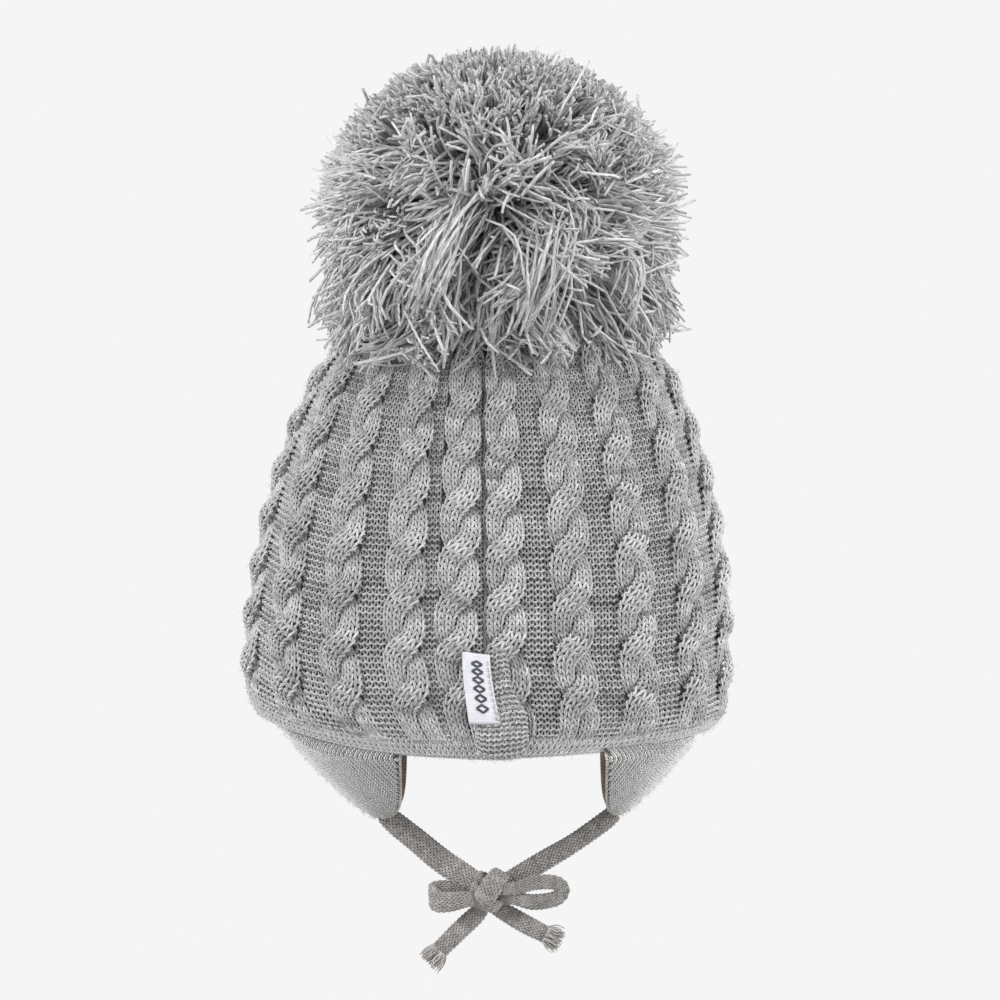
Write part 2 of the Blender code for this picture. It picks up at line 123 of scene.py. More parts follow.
# ---------------------------------------------------------------- meshes of yarn
class Yarns:
    """Closed yarn tubes and thin sheets, gathered into one mesh."""

    def __init__(self):
        self.points, self.faces, self.seeds, self.count = [], [], [], 0
        self.values = {"tone_and_painted_shade": [], "along": [], "around": []}

    def keep(self, points, faces, tone_and_painted_shade, along, around):
        self.points.append(points.reshape(-1, 3))
        for size_faces in faces:
            self.faces.append(size_faces + self.count)
        size = points.size // 3
        for name, value in (("tone_and_painted_shade", tone_and_painted_shade), ("along", along), ("around", around)):
            self.values[name].append(np.broadcast_to(value, (size,)).astype(np.float32))
        self.count += size

    def tubes(self, paths, radii, up, sides=5, flat=1.0, tone_and_painted_shade=0.0):
        """Tubes along paths (n, m, 3). Each ring starts on the side away from up."""
        paths = np.asarray(paths, float)
        if paths.ndim == 2:
            paths = paths[None]
        n, m, _ = paths.shape
        radii = np.broadcast_to(radii, (n, m))[..., None, None]
        along = unit(np.gradient(paths, axis=1))
        up = np.broadcast_to(up, paths.shape)
        self.seeds.append(np.stack([paths, up], axis=2).reshape(-1, 2, 3))
        side = unit(np.cross(along, up))
        up = np.cross(side, along)
        turns = math.pi + 2.0 * math.pi * np.arange(sides) / sides
        ring = np.cos(turns)[:, None] * up[:, :, None] * flat
        ring = ring + np.sin(turns)[:, None] * side[:, :, None]
        points = paths[:, :, None] + radii * ring
        index = np.arange(n * m * sides).reshape(n, m, sides)
        over = np.roll(index, -1, axis=2)
        quads = np.stack([index[:, :-1], over[:, :-1], over[:, 1:], index[:, 1:]], axis=-1)
        caps = np.concatenate([index[:, 0, ::-1], index[:, -1]]).reshape(-1, sides)
        steps = np.linalg.norm(np.diff(paths, axis=1), axis=2)
        travelled = np.concatenate([np.zeros((n, 1)), np.cumsum(steps, axis=1)], axis=1)
        travelled = travelled + rng.random((n, 1))
        tone_and_painted_shade = np.broadcast_to(np.asarray(tone_and_painted_shade, float), (n,))
        self.keep(
            points,
            [quads.reshape(-1, 4), caps],
            np.repeat(tone_and_painted_shade, m * sides),
            np.repeat(travelled.ravel(), sides),
            np.tile(np.arange(sides) / sides, n * m),
        )

    def fuzz(self, count, length, radius=0.00006):
        """Short stray fibres standing a little off the yarns laid so far."""
        seeds = np.concatenate(self.seeds)
        start, up = np.moveaxis(seeds[rng.integers(len(seeds), size=count)], 1, 0)
        start = start + unit(up) * 0.00035
        way = unit(rng.normal(size=(count, 3)) + unit(up) * 0.9)
        bend = unit(way + rng.normal(size=(count, 3)))
        size = length * (0.5 + rng.random((count, 1)))
        middle, end = start + way * size * 0.45, start + way * size * 0.6 + bend * size * 0.4
        paths = np.stack([start, (start + middle) / 2.0, middle, end], axis=1)
        radii = radius * np.array((1.0, 0.9, 0.8, 0.4))
        self.tubes(paths, radii, unit(up)[:, None], sides=3, tone_and_painted_shade=0.8)

    def sheet(self, outer, inner, closed=False, tone_and_painted_shade=0.0):
        """Thin solid between two grids (rows, columns, 3), closed round the columns or open."""
        rows, columns, _ = outer.shape
        index = np.arange(rows * columns).reshape(rows, columns)
        nxt = np.roll(index, -1, axis=1)
        last = columns if closed else columns - 1
        face = np.stack([index[:-1], nxt[:-1], nxt[1:], index[1:]], axis=-1)
        face = face[:, :last].reshape(-1, 4)
        under = rows * columns
        quads = [face, face[:, ::-1] + under]
        for row, flip in ((0, False), (rows - 1, True)):
            near, far = index[row], nxt[row]
            edge = np.stack([far, near, near + under, far + under], axis=-1)[:last]
            quads.append(edge[:, ::-1] if flip else edge)
        if not closed:
            for column, flip in ((0, False), (columns - 1, True)):
                low, high = index[:-1, column], index[1:, column]
                edge = np.stack([low, high, high + under, low + under], axis=-1)
                quads.append(edge[:, ::-1] if flip else edge)
        points = np.concatenate([outer.reshape(-1, 3), inner.reshape(-1, 3)])
        grid_rows = np.repeat(np.arange(rows) / rows, columns)
        self.keep(points, [np.vstack(quads)], tone_and_painted_shade, np.tile(grid_rows, 2), 0.0)

    def build(self, name, material):
        mesh = bpy.data.meshes.new(name)
        points = np.vstack(self.points)
        mesh.vertices.add(len(points))
        mesh.vertices.foreach_set("co", points.astype(np.float32).ravel())
        totals = np.concatenate([np.full(len(f), f.shape[1], np.int32) for f in self.faces])
        mesh.loops.add(int(totals.sum()))
        corners = np.concatenate([f.ravel() for f in self.faces]).astype(np.int32)
        mesh.loops.foreach_set("vertex_index", corners)
        mesh.polygons.add(len(totals))
        starts = np.concatenate([[0], np.cumsum(totals)[:-1]]).astype(np.int32)
        mesh.polygons.foreach_set("loop_start", starts)
        mesh.polygons.foreach_set("use_smooth", np.ones(len(totals), bool))
        for label, value in self.values.items():
            layer = mesh.attributes.new(label, "FLOAT", "POINT")
            layer.data.foreach_set("value", np.concatenate(value))
        mesh.update(calc_edges=True)
        mesh.materials.append(material)
        thing = bpy.data.objects.new(name, mesh)
        bpy.context.scene.collection.objects.link(thing)
        return thing


def piece(yarns, name, material, slot, body, *nodes):
    """Build a piece with its material, attach it to the body it rides on and hide the CAD nodes it stands
    for; its slot is not used.
    """
    made = yarns.build(name, material)
    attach(made, body)
    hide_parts(*nodes)
    return made


def stitches(wales, loop_open=1.75, half_rise=0.80):
    """One course of loops: across in wales, rise in rows, and front (+1 at a knit loop's legs)."""
    step = np.arange(wales * STEPS + 1)
    turn = -math.pi + 2.0 * math.pi * (step % STEPS) / STEPS
    across = step / STEPS + loop_open * np.sin(2.0 * turn) / (2.0 * math.pi)
    return across, half_rise * np.cos(turn), -np.cos(2.0 * turn)


# ---------------------------------------------------------------- materials
class Graph:
    """Node graph of a material or of the world, with a short way to add each kind of node."""

    def __init__(self, tree):
        self.nodes, self.links = tree.nodes, tree.links

    def math(self, kind, a, b=0.0):
        node = self.nodes.new("ShaderNodeMath")
        node.operation = kind
        for slot, value in zip(node.inputs, (a, b)):
            if isinstance(value, (int, float)):
                slot.default_value = value
            else:
                self.links.new(value, slot)
        return node.outputs[0]

    def times(self, a, b):
        return self.math("MULTIPLY", a, b)

    def plus(self, a, b):
        return self.math("ADD", a, b)

    def total(self, first, *rest):
        """Sum of (value, weight) pairs."""
        mixed = self.times(*first)
        for pair in rest:
            mixed = self.plus(mixed, self.times(*pair))
        return mixed

    def place(self, kind="Object"):
        return self.nodes.new("ShaderNodeTexCoord").outputs[kind]

    def attribute(self, name):
        node = self.nodes.new("ShaderNodeAttribute")
        node.attribute_name = name
        return node.outputs["Fac"]

    def noise(self, vector, scale, detail=2.0, roughness=0.6):
        node = self.nodes.new("ShaderNodeTexNoise")
        node.inputs["Scale"].default_value = scale
        node.inputs["Detail"].default_value = detail
        node.inputs["Roughness"].default_value = roughness
        self.links.new(vector, node.inputs["Vector"])
        return node.outputs["Fac"]

    def ramp(self, fac, stops):
        node = self.nodes.new("ShaderNodeValToRGB")
        band = node.color_ramp
        for element, (place, colour) in zip(band.elements, (stops[0], stops[-1])):
            element.position, element.color = place, (*colour, 1.0)
        for place, colour in stops[1:-1]:
            band.elements.new(place).color = (*colour, 1.0)
        self.links.new(fac, node.inputs[0])
        return node.outputs["Color"]

    def bump(self, shader, height, distance):
        node = self.nodes.new("ShaderNodeBump")
        node.inputs["Distance"].default_value = distance
        self.links.new(height, node.inputs["Height"])
        self.links.new(node.outputs["Normal"], shader.inputs["Normal"])


def new_material(name, roughness, sheen=0.0, specular=0.25):
    made = bpy.data.materials.new(name)
    made.use_nodes = True
    shader = made.node_tree.nodes["Principled BSDF"]
    shader.inputs["Roughness"].default_value = roughness
    shader.inputs["Sheen Weight"].default_value = sheen
    shader.inputs["Specular IOR Level"].default_value = specular
    return made, Graph(made.node_tree), shader


def wool(name, stops, plies=3.0, lay=900.0, streaks=7.0, fibre_bump=0.00022):
    """Melange wool yarn: twisted plies and fine fibre streaks that run along each yarn."""
    made, graph, shader = new_material(name, 0.95, sheen=0.35, specular=0.12)
    along, around, tone_and_painted_shade = (graph.attribute(n) for n in ("along", "around", "tone_and_painted_shade"))
    twist = graph.times(along, lay)
    ply_turn = graph.times(around, plies * 2.0 * math.pi)
    ply = graph.math("SINE", graph.plus(ply_turn, twist))
    spot = graph.nodes.new("ShaderNodeCombineXYZ")
    wrap = graph.plus(around, graph.times(along, lay / (2.0 * math.pi * plies)))
    scaled = (graph.times(along, 420.0), graph.times(wrap, streaks * 2.0), graph.times(tone_and_painted_shade, 40.0))
    for slot, value in zip(spot.inputs, scaled):
        graph.links.new(value, slot)
    fibres = graph.noise(spot.outputs[0], 1.0, 3.0, 0.65)
    place = graph.place()
    melange = graph.noise(place, 420.0, 2.0, 0.7)
    cloud = graph.noise(place, 60.0, 1.0)
    # The per-point tone attribute holds random yarn tone plus painted shade and light laid on some yarns
    # and sheets.
    mixed = graph.total((fibres, 0.55), (melange, 0.40), (cloud, 0.12), (ply, 0.07), (tone_and_painted_shade, 0.16))
    graph.links.new(graph.ramp(mixed, stops), shader.inputs["Base Color"])
    graph.bump(shader, graph.total((ply, 0.5), (fibres, 1.6)), fibre_bump)
    return made


def fine_cloth(name, stops, scale, depth, roughness=0.9, sheen=0.2):
    """Close-knit or woven cloth, its loops given by two crossing waves."""
    made, graph, shader = new_material(name, roughness, sheen=sheen, specular=0.2)
    place = graph.place()
    split = graph.nodes.new("ShaderNodeSeparateXYZ")
    graph.links.new(place, split.inputs[0])
    wander = graph.noise(place, 160.0, 2.0)
    flat = graph.plus(split.outputs[0], split.outputs[1])
    lift = graph.math("ABSOLUTE", graph.math("SINE", graph.times(flat, scale)))
    climb = graph.times(split.outputs[2], scale * 1.2)
    weave = graph.times(lift, graph.math("SINE", graph.plus(climb, lift)))
    fac = graph.plus(graph.times(weave, 0.25), wander)
    graph.links.new(graph.ramp(fac, stops), shader.inputs["Base Color"])
    graph.bump(shader, weave, depth)
    return made


def grey(value, warmth=0.0):
    return (value * (1.0 + warmth), value, value * (1.0 - warmth * 0.8))


BODY_STOPS = [(0.30, grey(0.25)), (0.50, grey(0.56)), (0.66, grey(0.78)), (0.84, grey(0.93))]
POM_STOPS = [(0.28, grey(0.34, 0.02)), (0.48, grey(0.70)), (0.64, grey(0.90)), (0.80, grey(0.96))]
FLAP_STOPS = [
    (0.20, grey(0.14, 0.03)),
    (0.42, grey(0.56, 0.03)),
    (0.68, grey(0.86, 0.02)),
    (0.86, grey(0.94)),
]
TIE_STOPS = [
    (0.30, grey(0.12, 0.05)),
    (0.50, grey(0.37, 0.05)),
    (0.68, grey(0.61, 0.04)),
    (0.86, grey(0.77, 0.03)),
]
LINING_STOPS = [(0.2, (0.42, 0.37, 0.33)), (0.6, (0.62, 0.56, 0.51)), (0.9, (0.74, 0.68, 0.62))]
SATIN_STOPS = [(0.2, (0.70, 0.70, 0.76)), (0.8, (0.86, 0.86, 0.91))]
MARK_STOPS = [(0.2, (0.05, 0.055, 0.07)), (0.8, (0.11, 0.115, 0.14))]

body_wool = wool("cable wool", BODY_STOPS)
pom_wool = wool("pom yarn", POM_STOPS, plies=2.0, lay=1500.0, fibre_bump=0.00030)
flap_wool = wool("flap jersey yarn", FLAP_STOPS, plies=2.0, streaks=4.0, fibre_bump=0.00012)
tie_wool = wool("tie yarn", TIE_STOPS, plies=2.0, streaks=5.0, fibre_bump=0.00015)
lining_cloth = fine_cloth("lining jersey", LINING_STOPS, 4200.0, 0.00025)
# Near-black cloth put under the loops: painted shade seen in the gaps between them.
painted_shade_cloth = fine_cloth("painted shade ground knit", [(0.2, grey(0.07)), (0.8, grey(0.20))], 2400.0, 0.0004)
label_cloth = fine_cloth("label satin", SATIN_STOPS, 9000.0, 0.00006, roughness=0.5, sheen=0.1)
mark_thread = fine_cloth("label motif thread", MARK_STOPS, 9000.0, 0.00005)
thread = fine_cloth("sewing thread", [(0.2, grey(0.35)), (0.8, grey(0.62))], 7000.0, 0.0001)


# ---------------------------------------------------------------- the hat's outer surface
def hem_z(angle):
    side = np.where(np.cos(angle) > 0.0, HEM_RISE["right"], HEM_RISE["left"])
    return side * np.abs(np.cos(angle)) ** 5 - HEM_DROP


def outer_point(angle, turn):
    """Outer surface at an angle round the hat (-pi / 2 at the back) and a turn up its side."""
    angle, turn = np.broadcast_arrays(angle, turn)
    below = turn < 0.0
    height = WIDEST_Z + turn * (WIDEST_Z - hem_z(angle))
    drop = np.clip((WIDEST_Z - height) / WIDEST_Z, 0.0, 2.0) ** (5.6 + 1.2 * np.cos(angle))
    wide = HALF_WIDTH * (1.0 - 0.36 * drop)
    deep = HALF_WIDTH * DEPTH_RATIO * (1.0 - 0.05 * drop)
    rise = np.clip(turn, 0.0, math.pi / 2.0)
    share = np.cos(rise) ** 0.64
    roundness = DEPTH_RATIO + (1.0 - DEPTH_RATIO) * np.sin(rise) ** 8
    wide = np.where(below, wide, HALF_WIDTH * share)
    deep = np.where(below, deep, HALF_WIDTH * share * roundness)
    lean = np.where(below, 0.0, CROWN_LEAN * np.sin(rise) ** 0.8)
    height = np.where(below, height, WIDEST_Z + (CROWN_Z - WIDEST_Z) * np.sin(rise) ** 1.25)
    return np.stack([lean + wide * np.cos(angle), deep * np.sin(angle), height], axis=-1)


def skirt_turn(angle, above_hem):
    return (hem_z(angle) + above_hem - WIDEST_Z) / (WIDEST_Z - hem_z(angle))


class Surface:
    """Sampled surface with even steps along each upward line, read by round (radians) and row."""

    def __init__(self, round_count=720, hem_samples=16, samples=300):
        self.rounds = np.linspace(0.0, 2.0 * math.pi, round_count + 1)
        angle = self.rounds - math.pi / 2.0
        share = np.linspace(0.0, 1.0, 1600)
        low = skirt_turn(angle, HEM_HEIGHT)
        turns = low[:, None] + (TOP_TURN - low[:, None]) * share
        lines = outer_point(angle[:, None], turns)
        gone = np.linalg.norm(np.diff(lines, axis=1), axis=2).cumsum(axis=1)
        gone = np.concatenate([np.zeros((len(angle), 1)), gone], axis=1)
        even = np.linspace(0.0, 1.0, samples)
        grid = np.empty((len(angle), samples, 3))
        for i in range(len(angle)):
            turn = np.interp(even * gone[i, -1], gone[i], turns[i])
            grid[i] = outer_point(angle[i], turn)
        heights = np.linspace(0.0, HEM_HEIGHT, hem_samples)[:-1]
        hem = outer_point(angle[:, None], skirt_turn(angle[:, None], heights[None]))
        self.grid = np.concatenate([hem, grid], axis=1)
        around = np.gradient(self.grid, axis=0)
        around[0] = around[-1] = self.grid[1] - self.grid[-2]
        climb = np.gradient(self.grid, axis=1)
        self.normals = unit(np.cross(around, climb))
        self.climbs = unit(climb)
        self.hem_samples, self.samples = hem_samples - 1, samples
        self.length = gone[:, -1].mean()

    def read(self, grid, around, row):
        """Bilinear reading at a round angle and a row (hem rows are negative)."""
        column = (around % (2.0 * math.pi)) / (2.0 * math.pi) * (len(self.rounds) - 1)
        level = np.where(
            row < 0.0,
            self.hem_samples * (1.0 + row / HEM_ROWS),
            self.hem_samples + (self.samples - 1) * row / SHELL_ROWS,
        )
        level = np.clip(level, 0.0, grid.shape[1] - 1.001)
        i = np.clip(column.astype(int), 0, len(self.rounds) - 2)
        j = level.astype(int)
        u, v = (column - i)[..., None], (level - j)[..., None]
        low = grid[i, j] * (1 - u) + grid[i + 1, j] * u
        high = grid[i, j + 1] * (1 - u) + grid[i + 1, j + 1] * u
        return low * (1 - v) + high * v


surface = Surface()
row_pitch = surface.length / SHELL_ROWS

# Arc length round the widest line, from the middle of the back towards +X
arcs = lengths_along(outer_point(surface.rounds - math.pi / 2.0, 0.0))
GIRTH = arcs[-1]


def pattern_lean(height):
    """How far round the stitches drift at a height: towards +X low down, back again higher up."""
    heights = (0.0, 0.010, 0.020, 0.040, 0.100, 0.152, 0.19)
    leans = (0.082, 0.062, 0.040, 0.006, -0.022, -0.048, -0.06)
    return np.interp(height, heights, leans)


def seam_dip(arc):
    """Depth of the groove along the centre-back seam."""
    off = (arc - SEAM_ARC + GIRTH / 2.0) % GIRTH - GIRTH / 2.0
    return 0.0030 * np.exp(-((off / 0.0012) ** 2))


def tab_dip(arc, row):
    """The cable right of the seam is pressed flat under the seam tab."""
    beside = smooth_step(-0.002, 0.002, arc) * smooth_step(0.016, 0.011, arc)
    return 0.0024 * beside * smooth_step(20.0, 13.0, row)


def on_shell(arc, row, height):
    """Point of the shell at an arc length round, a row up and a height over the CAD surface."""
    base = np.interp(arc % GIRTH, arcs, surface.rounds)
    level = surface.read(surface.grid, base, row)[..., 2]
    around = base + pattern_lean(level)
    normal = surface.read(surface.normals, around, row)
    place = surface.read(surface.grid, around, row)
    lift = height - seam_dip(arc) - tab_dip(arc, row)
    return place + normal * lift[..., None], normal


def local_scale(arc, row):
    """Width of a wale here against its width at the widest line."""
    base = np.interp(arc % GIRTH, arcs, surface.rounds)
    a = surface.read(surface.grid, base - 0.01, row)
    b = surface.read(surface.grid, base + 0.01, row)
    low = outer_point(base - 0.01 - math.pi / 2.0, 0.0)
    high = outer_point(base + 0.01 - math.pi / 2.0, 0.0)
    return np.linalg.norm(b - a, axis=-1) / np.linalg.norm(high - low, axis=-1)


def loop_size(arc, row):
    """Size of the loops here against those at the widest line."""
    return np.clip(local_scale(arc, row), 0.12, 1.0) ** 0.75


# ---------------------------------------------------------------- camera and light
FLOOR_RADIUS = 0.42
FLOOR_Z = -0.165
BACKDROP = (grey(0.913), grey(0.60))


def camera():
    data = bpy.data.cameras.new("camera")
    data.lens = 150.0
    data.sensor_width = 36.0
    data.clip_start = 0.1
    data.clip_end = 20.0
    made = bpy.data.objects.new("camera", data)
    made.location = (0.0054, -1.6667, 0.0996)
    made.rotation_euler = (math.radians(90.0), 0.0, 0.0)
    bpy.context.scene.collection.objects.link(made)
    bpy.context.scene.camera = made


def soft_light(name, place, target, size, power):
    data = bpy.data.lights.new(name, "AREA")
    data.shape = "DISK"
    data.size = size
    data.energy = power
    made = bpy.data.objects.new(name, data)
    made.location = place
    aim = Vector(target) - Vector(place)
    made.rotation_euler = aim.to_track_quat("-Z", "Y").to_euler()
    bpy.context.scene.collection.objects.link(made)


def backdrop():
    """Pale surroundings, darker in front of the hat's back so that its sides stay light."""
    world = bpy.data.worlds.new("studio")
    world.use_nodes = True
    graph = Graph(world.node_tree)
    split = graph.nodes.new("ShaderNodeSeparateXYZ")
    graph.links.new(graph.place("Generated"), split.inputs[0])
    front = graph.times(split.outputs[1], -1.0)
    shade = graph.ramp(front, list(zip((0.0, 0.85), BACKDROP)))
    graph.links.new(shade, graph.nodes["Background"].inputs["Color"])
    bpy.context.scene.world = world


def studio():
    bpy.context.scene.view_settings.view_transform = "Standard"
    backdrop()
    soft_light("key left", (-1.6, -0.9, 0.8), (0.0, 0.0, 0.10), 0.6, 22.0)
    soft_light("key right", (1.7, -0.8, 0.6), (0.0, 0.0, 0.10), 0.6, 21.0)
    soft_light("top", (0.1, -0.5, 1.7), (0.0, 0.0, 0.15), 0.7, 6.0)
    floor_disc()


def floor_disc():
    mesh = bpy.data.meshes.new("floor")
    turns = np.linspace(0.0, 2.0 * math.pi, 96, endpoint=False)
    rim = [(FLOOR_RADIUS * math.cos(t), FLOOR_RADIUS * math.sin(t), FLOOR_Z) for t in turns]
    mesh.from_pydata(rim, [], [tuple(range(len(rim)))])
    floor = bpy.data.objects.new("floor", mesh)
    pale, graph, shader = new_material("pale floor", 0.8)
    speck = graph.noise(graph.place(), 30.0, 3.0)
    colour = graph.ramp(speck, [(0.3, grey(0.52)), (0.7, grey(0.55))])
    graph.links.new(colour, shader.inputs["Base Color"])
    mesh.materials.append(pale)
    bpy.context.scene.collection.objects.link(floor)


camera()
studio()


# ---------------------------------------------------------------- ties and bow
def mm(*places):
    return [np.array(p) * MM for p in places]


LEFT_TIE = mm(
    (-41.0, 0.6, -25.6), (-36.6, 0.4, -29.6), (-28.4, 1.0, -36.2), (-18.6, 1.4, -44.3), (-8.4, 1.0, -51.0)
)
RIGHT_TIE = mm(
    (9.9, 1.0, -52.6), (22.8, 1.4, -44.9), (35.0, 1.0, -37.6), (46.6, 0.4, -29.4), (51.4, 0.6, -25.4)
)
LEFT_LOOP = mm(
    (-8.2, 2.2, -57.2), (-14.4, 2.6, -56.6), (-19.8, 1.8, -57.0), (-21.4, -1.2, -58.6),
    (-19.2, -4.4, -60.6), (-13.8, -5.0, -60.6), (-8.2, -4.4, -59.8),
)
RIGHT_LOOP = mm(
    (11.0, -4.9, -55.4), (19.0, -6.2, -53.0), (27.2, -6.8, -52.8), (30.6, -6.4, -55.8),
    (27.4, -5.6, -59.4), (18.5, -4.4, -60.8), (11.0, -3.4, -59.4),
)
LEFT_TAIL = mm((-4.4, 2.4, -66.8), (-11.0, 2.8, -73.0), (-20.6, 2.6, -82.6))
RIGHT_TAIL = mm((7.4, 2.4, -65.6), (16.4, 2.8, -70.8), (26.0, 2.6, -75.6))
KNOT_CENTRE = np.array((1.4, 0.0, -56.5)) * MM
TOWARDS_BACK = np.array((0.0, -1.0, 0.0))
STRAP_EDGE = 0.72


def rounded(wave, power):
    """A sine or cosine with its rounds squared off, for a rounded oblong cross-section."""
    return np.sign(wave) * np.abs(wave) ** power


def read_along(values, gone, wanted):
    """Vectors carried along a line, read at wanted distances."""
    return np.stack([np.interp(wanted, gone, column) for column in values.T], axis=-1)


class Strap:
    """A flat knitted cord along a route. Each route point carries a half width and a facing."""

    def __init__(self, route, half_widths, facings, thickness=0.0013, samples=400):
        widths = np.array(half_widths)[:, None]
        carried = np.hstack([np.array(route), widths, np.array(facings, float)])
        line = catmull(carried, samples)
        self.path, self.half = line[:, :3], line[:, 3]
        along = unit(np.gradient(self.path, axis=0))
        facing = line[:, 4:7]
        facing = facing - (facing * along).sum(1, keepdims=True) * along
        self.facing = unit(facing)
        self.side = np.cross(self.facing, along)
        self.gone = lengths_along(self.path)
        self.length, self.thickness = self.gone[-1], thickness
        turns = np.linspace(-0.5 * math.pi, 1.5 * math.pi, 361)
        wide = rounded(np.cos(turns), STRAP_EDGE) * self.half.mean()
        thick = rounded(np.sin(turns), STRAP_EDGE) * thickness
        girth = lengths_along(np.stack([wide, thick], axis=1))
        self.turns, self.shares = turns, girth / girth[-1]

    def at(self, gone, turn, lift):
        """Point at a distance along and a turn round the flat cross-section."""
        half = np.interp(gone, self.gone, self.half)
        side, facing, middle = (
            read_along(values, self.gone, gone) for values in (self.side, self.facing, self.path)
        )
        cos, sin = np.cos(turn)[..., None], np.sin(turn)[..., None]
        across = rounded(cos, STRAP_EDGE) * (half + lift)[..., None]
        out = rounded(sin, STRAP_EDGE) * (self.thickness + lift)[..., None]
        place = middle + across * side + out * facing
        return place, unit(cos * side * self.thickness / half[..., None] + sin * facing)

    def knit(self, yarns, wales=12, row=0.0018, depth=0.00036, start=0.0, end=None):
        """Core darkened as painted shade between the loops, and jersey loops round it, wales running
        along.
        """
        end = self.length if end is None else end
        rings = max(8, int((end - start) / 0.0016))
        gone = np.linspace(start, end, rings)
        turns = np.linspace(0.0, 2.0 * math.pi, 20, endpoint=False)
        core, _ = self.at(*np.broadcast_arrays(gone[:, None], turns[None], -0.0005))
        index = np.arange(rings * 20).reshape(rings, 20)
        over = np.roll(index, -1, axis=1)
        quads = np.stack([index[:-1], over[:-1], over[1:], index[1:]], axis=-1).reshape(-1, 4)
        ends = np.stack([index[0, ::-1], index[-1]])
        around = np.tile(turns / (2 * math.pi), rings)
        # The core's low tone is painted shade seen between the loops.
        yarns.keep(core, [quads, ends], -2.6, np.repeat(gone, 20), around)
        across, rise, front = stitches(wales, half_rise=0.76)
        rows = int((end - start - row) / row)
        level = start + (np.arange(rows)[:, None] + 0.8 + rise[None]) * row
        turn = np.interp(across[None] / wales, self.shares, self.turns) + np.zeros((rows, 1))
        level = np.clip(level, start, end)
        place, normal = self.at(level, turn, front[None] * depth + np.zeros((rows, 1)))
        radius = 1.12 * np.interp(level, self.gone, self.half) / wales
        yarns.tubes(place, radius, normal, sides=4, tone_and_painted_shade=rng.standard_normal(rows) * 0.12)


def cord_piece(name, route, half_widths, facings, nodes):
    strap = Strap(route, half_widths, facings)
    yarns = Yarns()
    strap.knit(yarns)
    made = yarns.build(name, tie_wool)
    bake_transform(made)
    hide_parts(*nodes)
    return strap


def frayed_end(name, tail, node):
    """Short loose ends where the tail was cut."""
    along = unit(tail[-1] - tail[-2])
    side = unit(np.cross(along, TOWARDS_BACK))
    yarns = Yarns()
    for _ in range(90):
        out = rng.random() - 0.5
        deep = rng.random() - 0.5
        root = tail[-1] - along * 0.0028 + side * out * 0.0066
        root = root + TOWARDS_BACK * (deep * 0.0034 + 0.0004)
        spread = side * (out * 0.0016 + rng.normal() * 0.0008) + TOWARDS_BACK * rng.normal() * 0.0007
        tip = root + along * (0.0052 + rng.random() * 0.0024) + spread
        bend = (root + tip) / 2.0 + rng.normal(size=3) * 0.0006
        line = catmull([root, bend, tip], 7)
        radii = np.linspace(0.00036, 0.00018, 7)
        yarns.tubes(line, radii, (0.0, -1.0, 0.01), sides=4, tone_and_painted_shade=0.5 + rng.normal() * 0.7)
    return piece(yarns, name, tie_wool, "tie_knit", "bow", node)


# Wraps of the knot, each a list of (place from the knot's centre in mm, facing, half width)
MAIN_WRAP = [
    ((4.6, 2.4, 4.6), (0.5, 0.6, 0.6), 0.0030),
    ((4.2, -1.6, 6.4), (0.5, -0.2, 0.9), 0.0034),
    ((2.0, -4.6, 4.0), (0.3, -0.9, 0.5), 0.0037),
    ((-0.4, -5.4, 0.4), (0.0, -1.0, 0.0), 0.0038),
    ((-2.4, -4.4, -3.2), (-0.2, -0.9, -0.3), 0.0036),
    ((-3.6, -1.0, -5.2), (-0.5, -0.2, -0.9), 0.0033),
    ((-3.0, 2.4, -4.6), (-0.3, 0.7, -0.6), 0.0030),
]
LOW_WRAP = [
    ((-5.6, 2.0, 3.4), (-0.8, 0.5, 0.4), 0.0028),
    ((-6.0, -1.6, 0.6), (-0.9, -0.5, 0.1), 0.0032),
    ((-4.6, -3.6, -2.6), (-0.6, -0.8, -0.3), 0.0034),
    ((-1.4, -3.4, -5.4), (-0.1, -0.8, -0.7), 0.0030),
    ((2.2, -2.4, -6.2), (0.3, -0.6, -0.8), 0.0026),
    ((4.4, 0.6, -4.2), (0.7, 0.2, -0.7), 0.0024),
]
CORE_WRAP = [
    ((-6.0, 1.0, 4.2), (-0.2, 1.0, 0.3), 0.0036),
    ((-2.0, 2.6, 2.4), (0.0, 1.0, 0.2), 0.0040),
    ((2.0, 3.0, -0.4), (0.0, 1.0, 0.0), 0.0040),
    ((5.8, 1.2, -3.4), (0.3, 1.0, -0.2), 0.0034),
]


def knot():
    """The bow's knot: a main wrap from upper right to lower left, one below it and a core."""
    yarns = Yarns()
    for wrap in (MAIN_WRAP, LOW_WRAP, CORE_WRAP):
        places, facings, halves = zip(*wrap)
        route = [KNOT_CENTRE + place for place in mm(*places)]
        strap = Strap(route, halves, facings, thickness=0.0012, samples=160)
        strap.knit(yarns, wales=10, row=0.0016)
    return piece(yarns, "bow_knot_wraps", tie_wool, "tie_knit", "bow", "bow_knot")


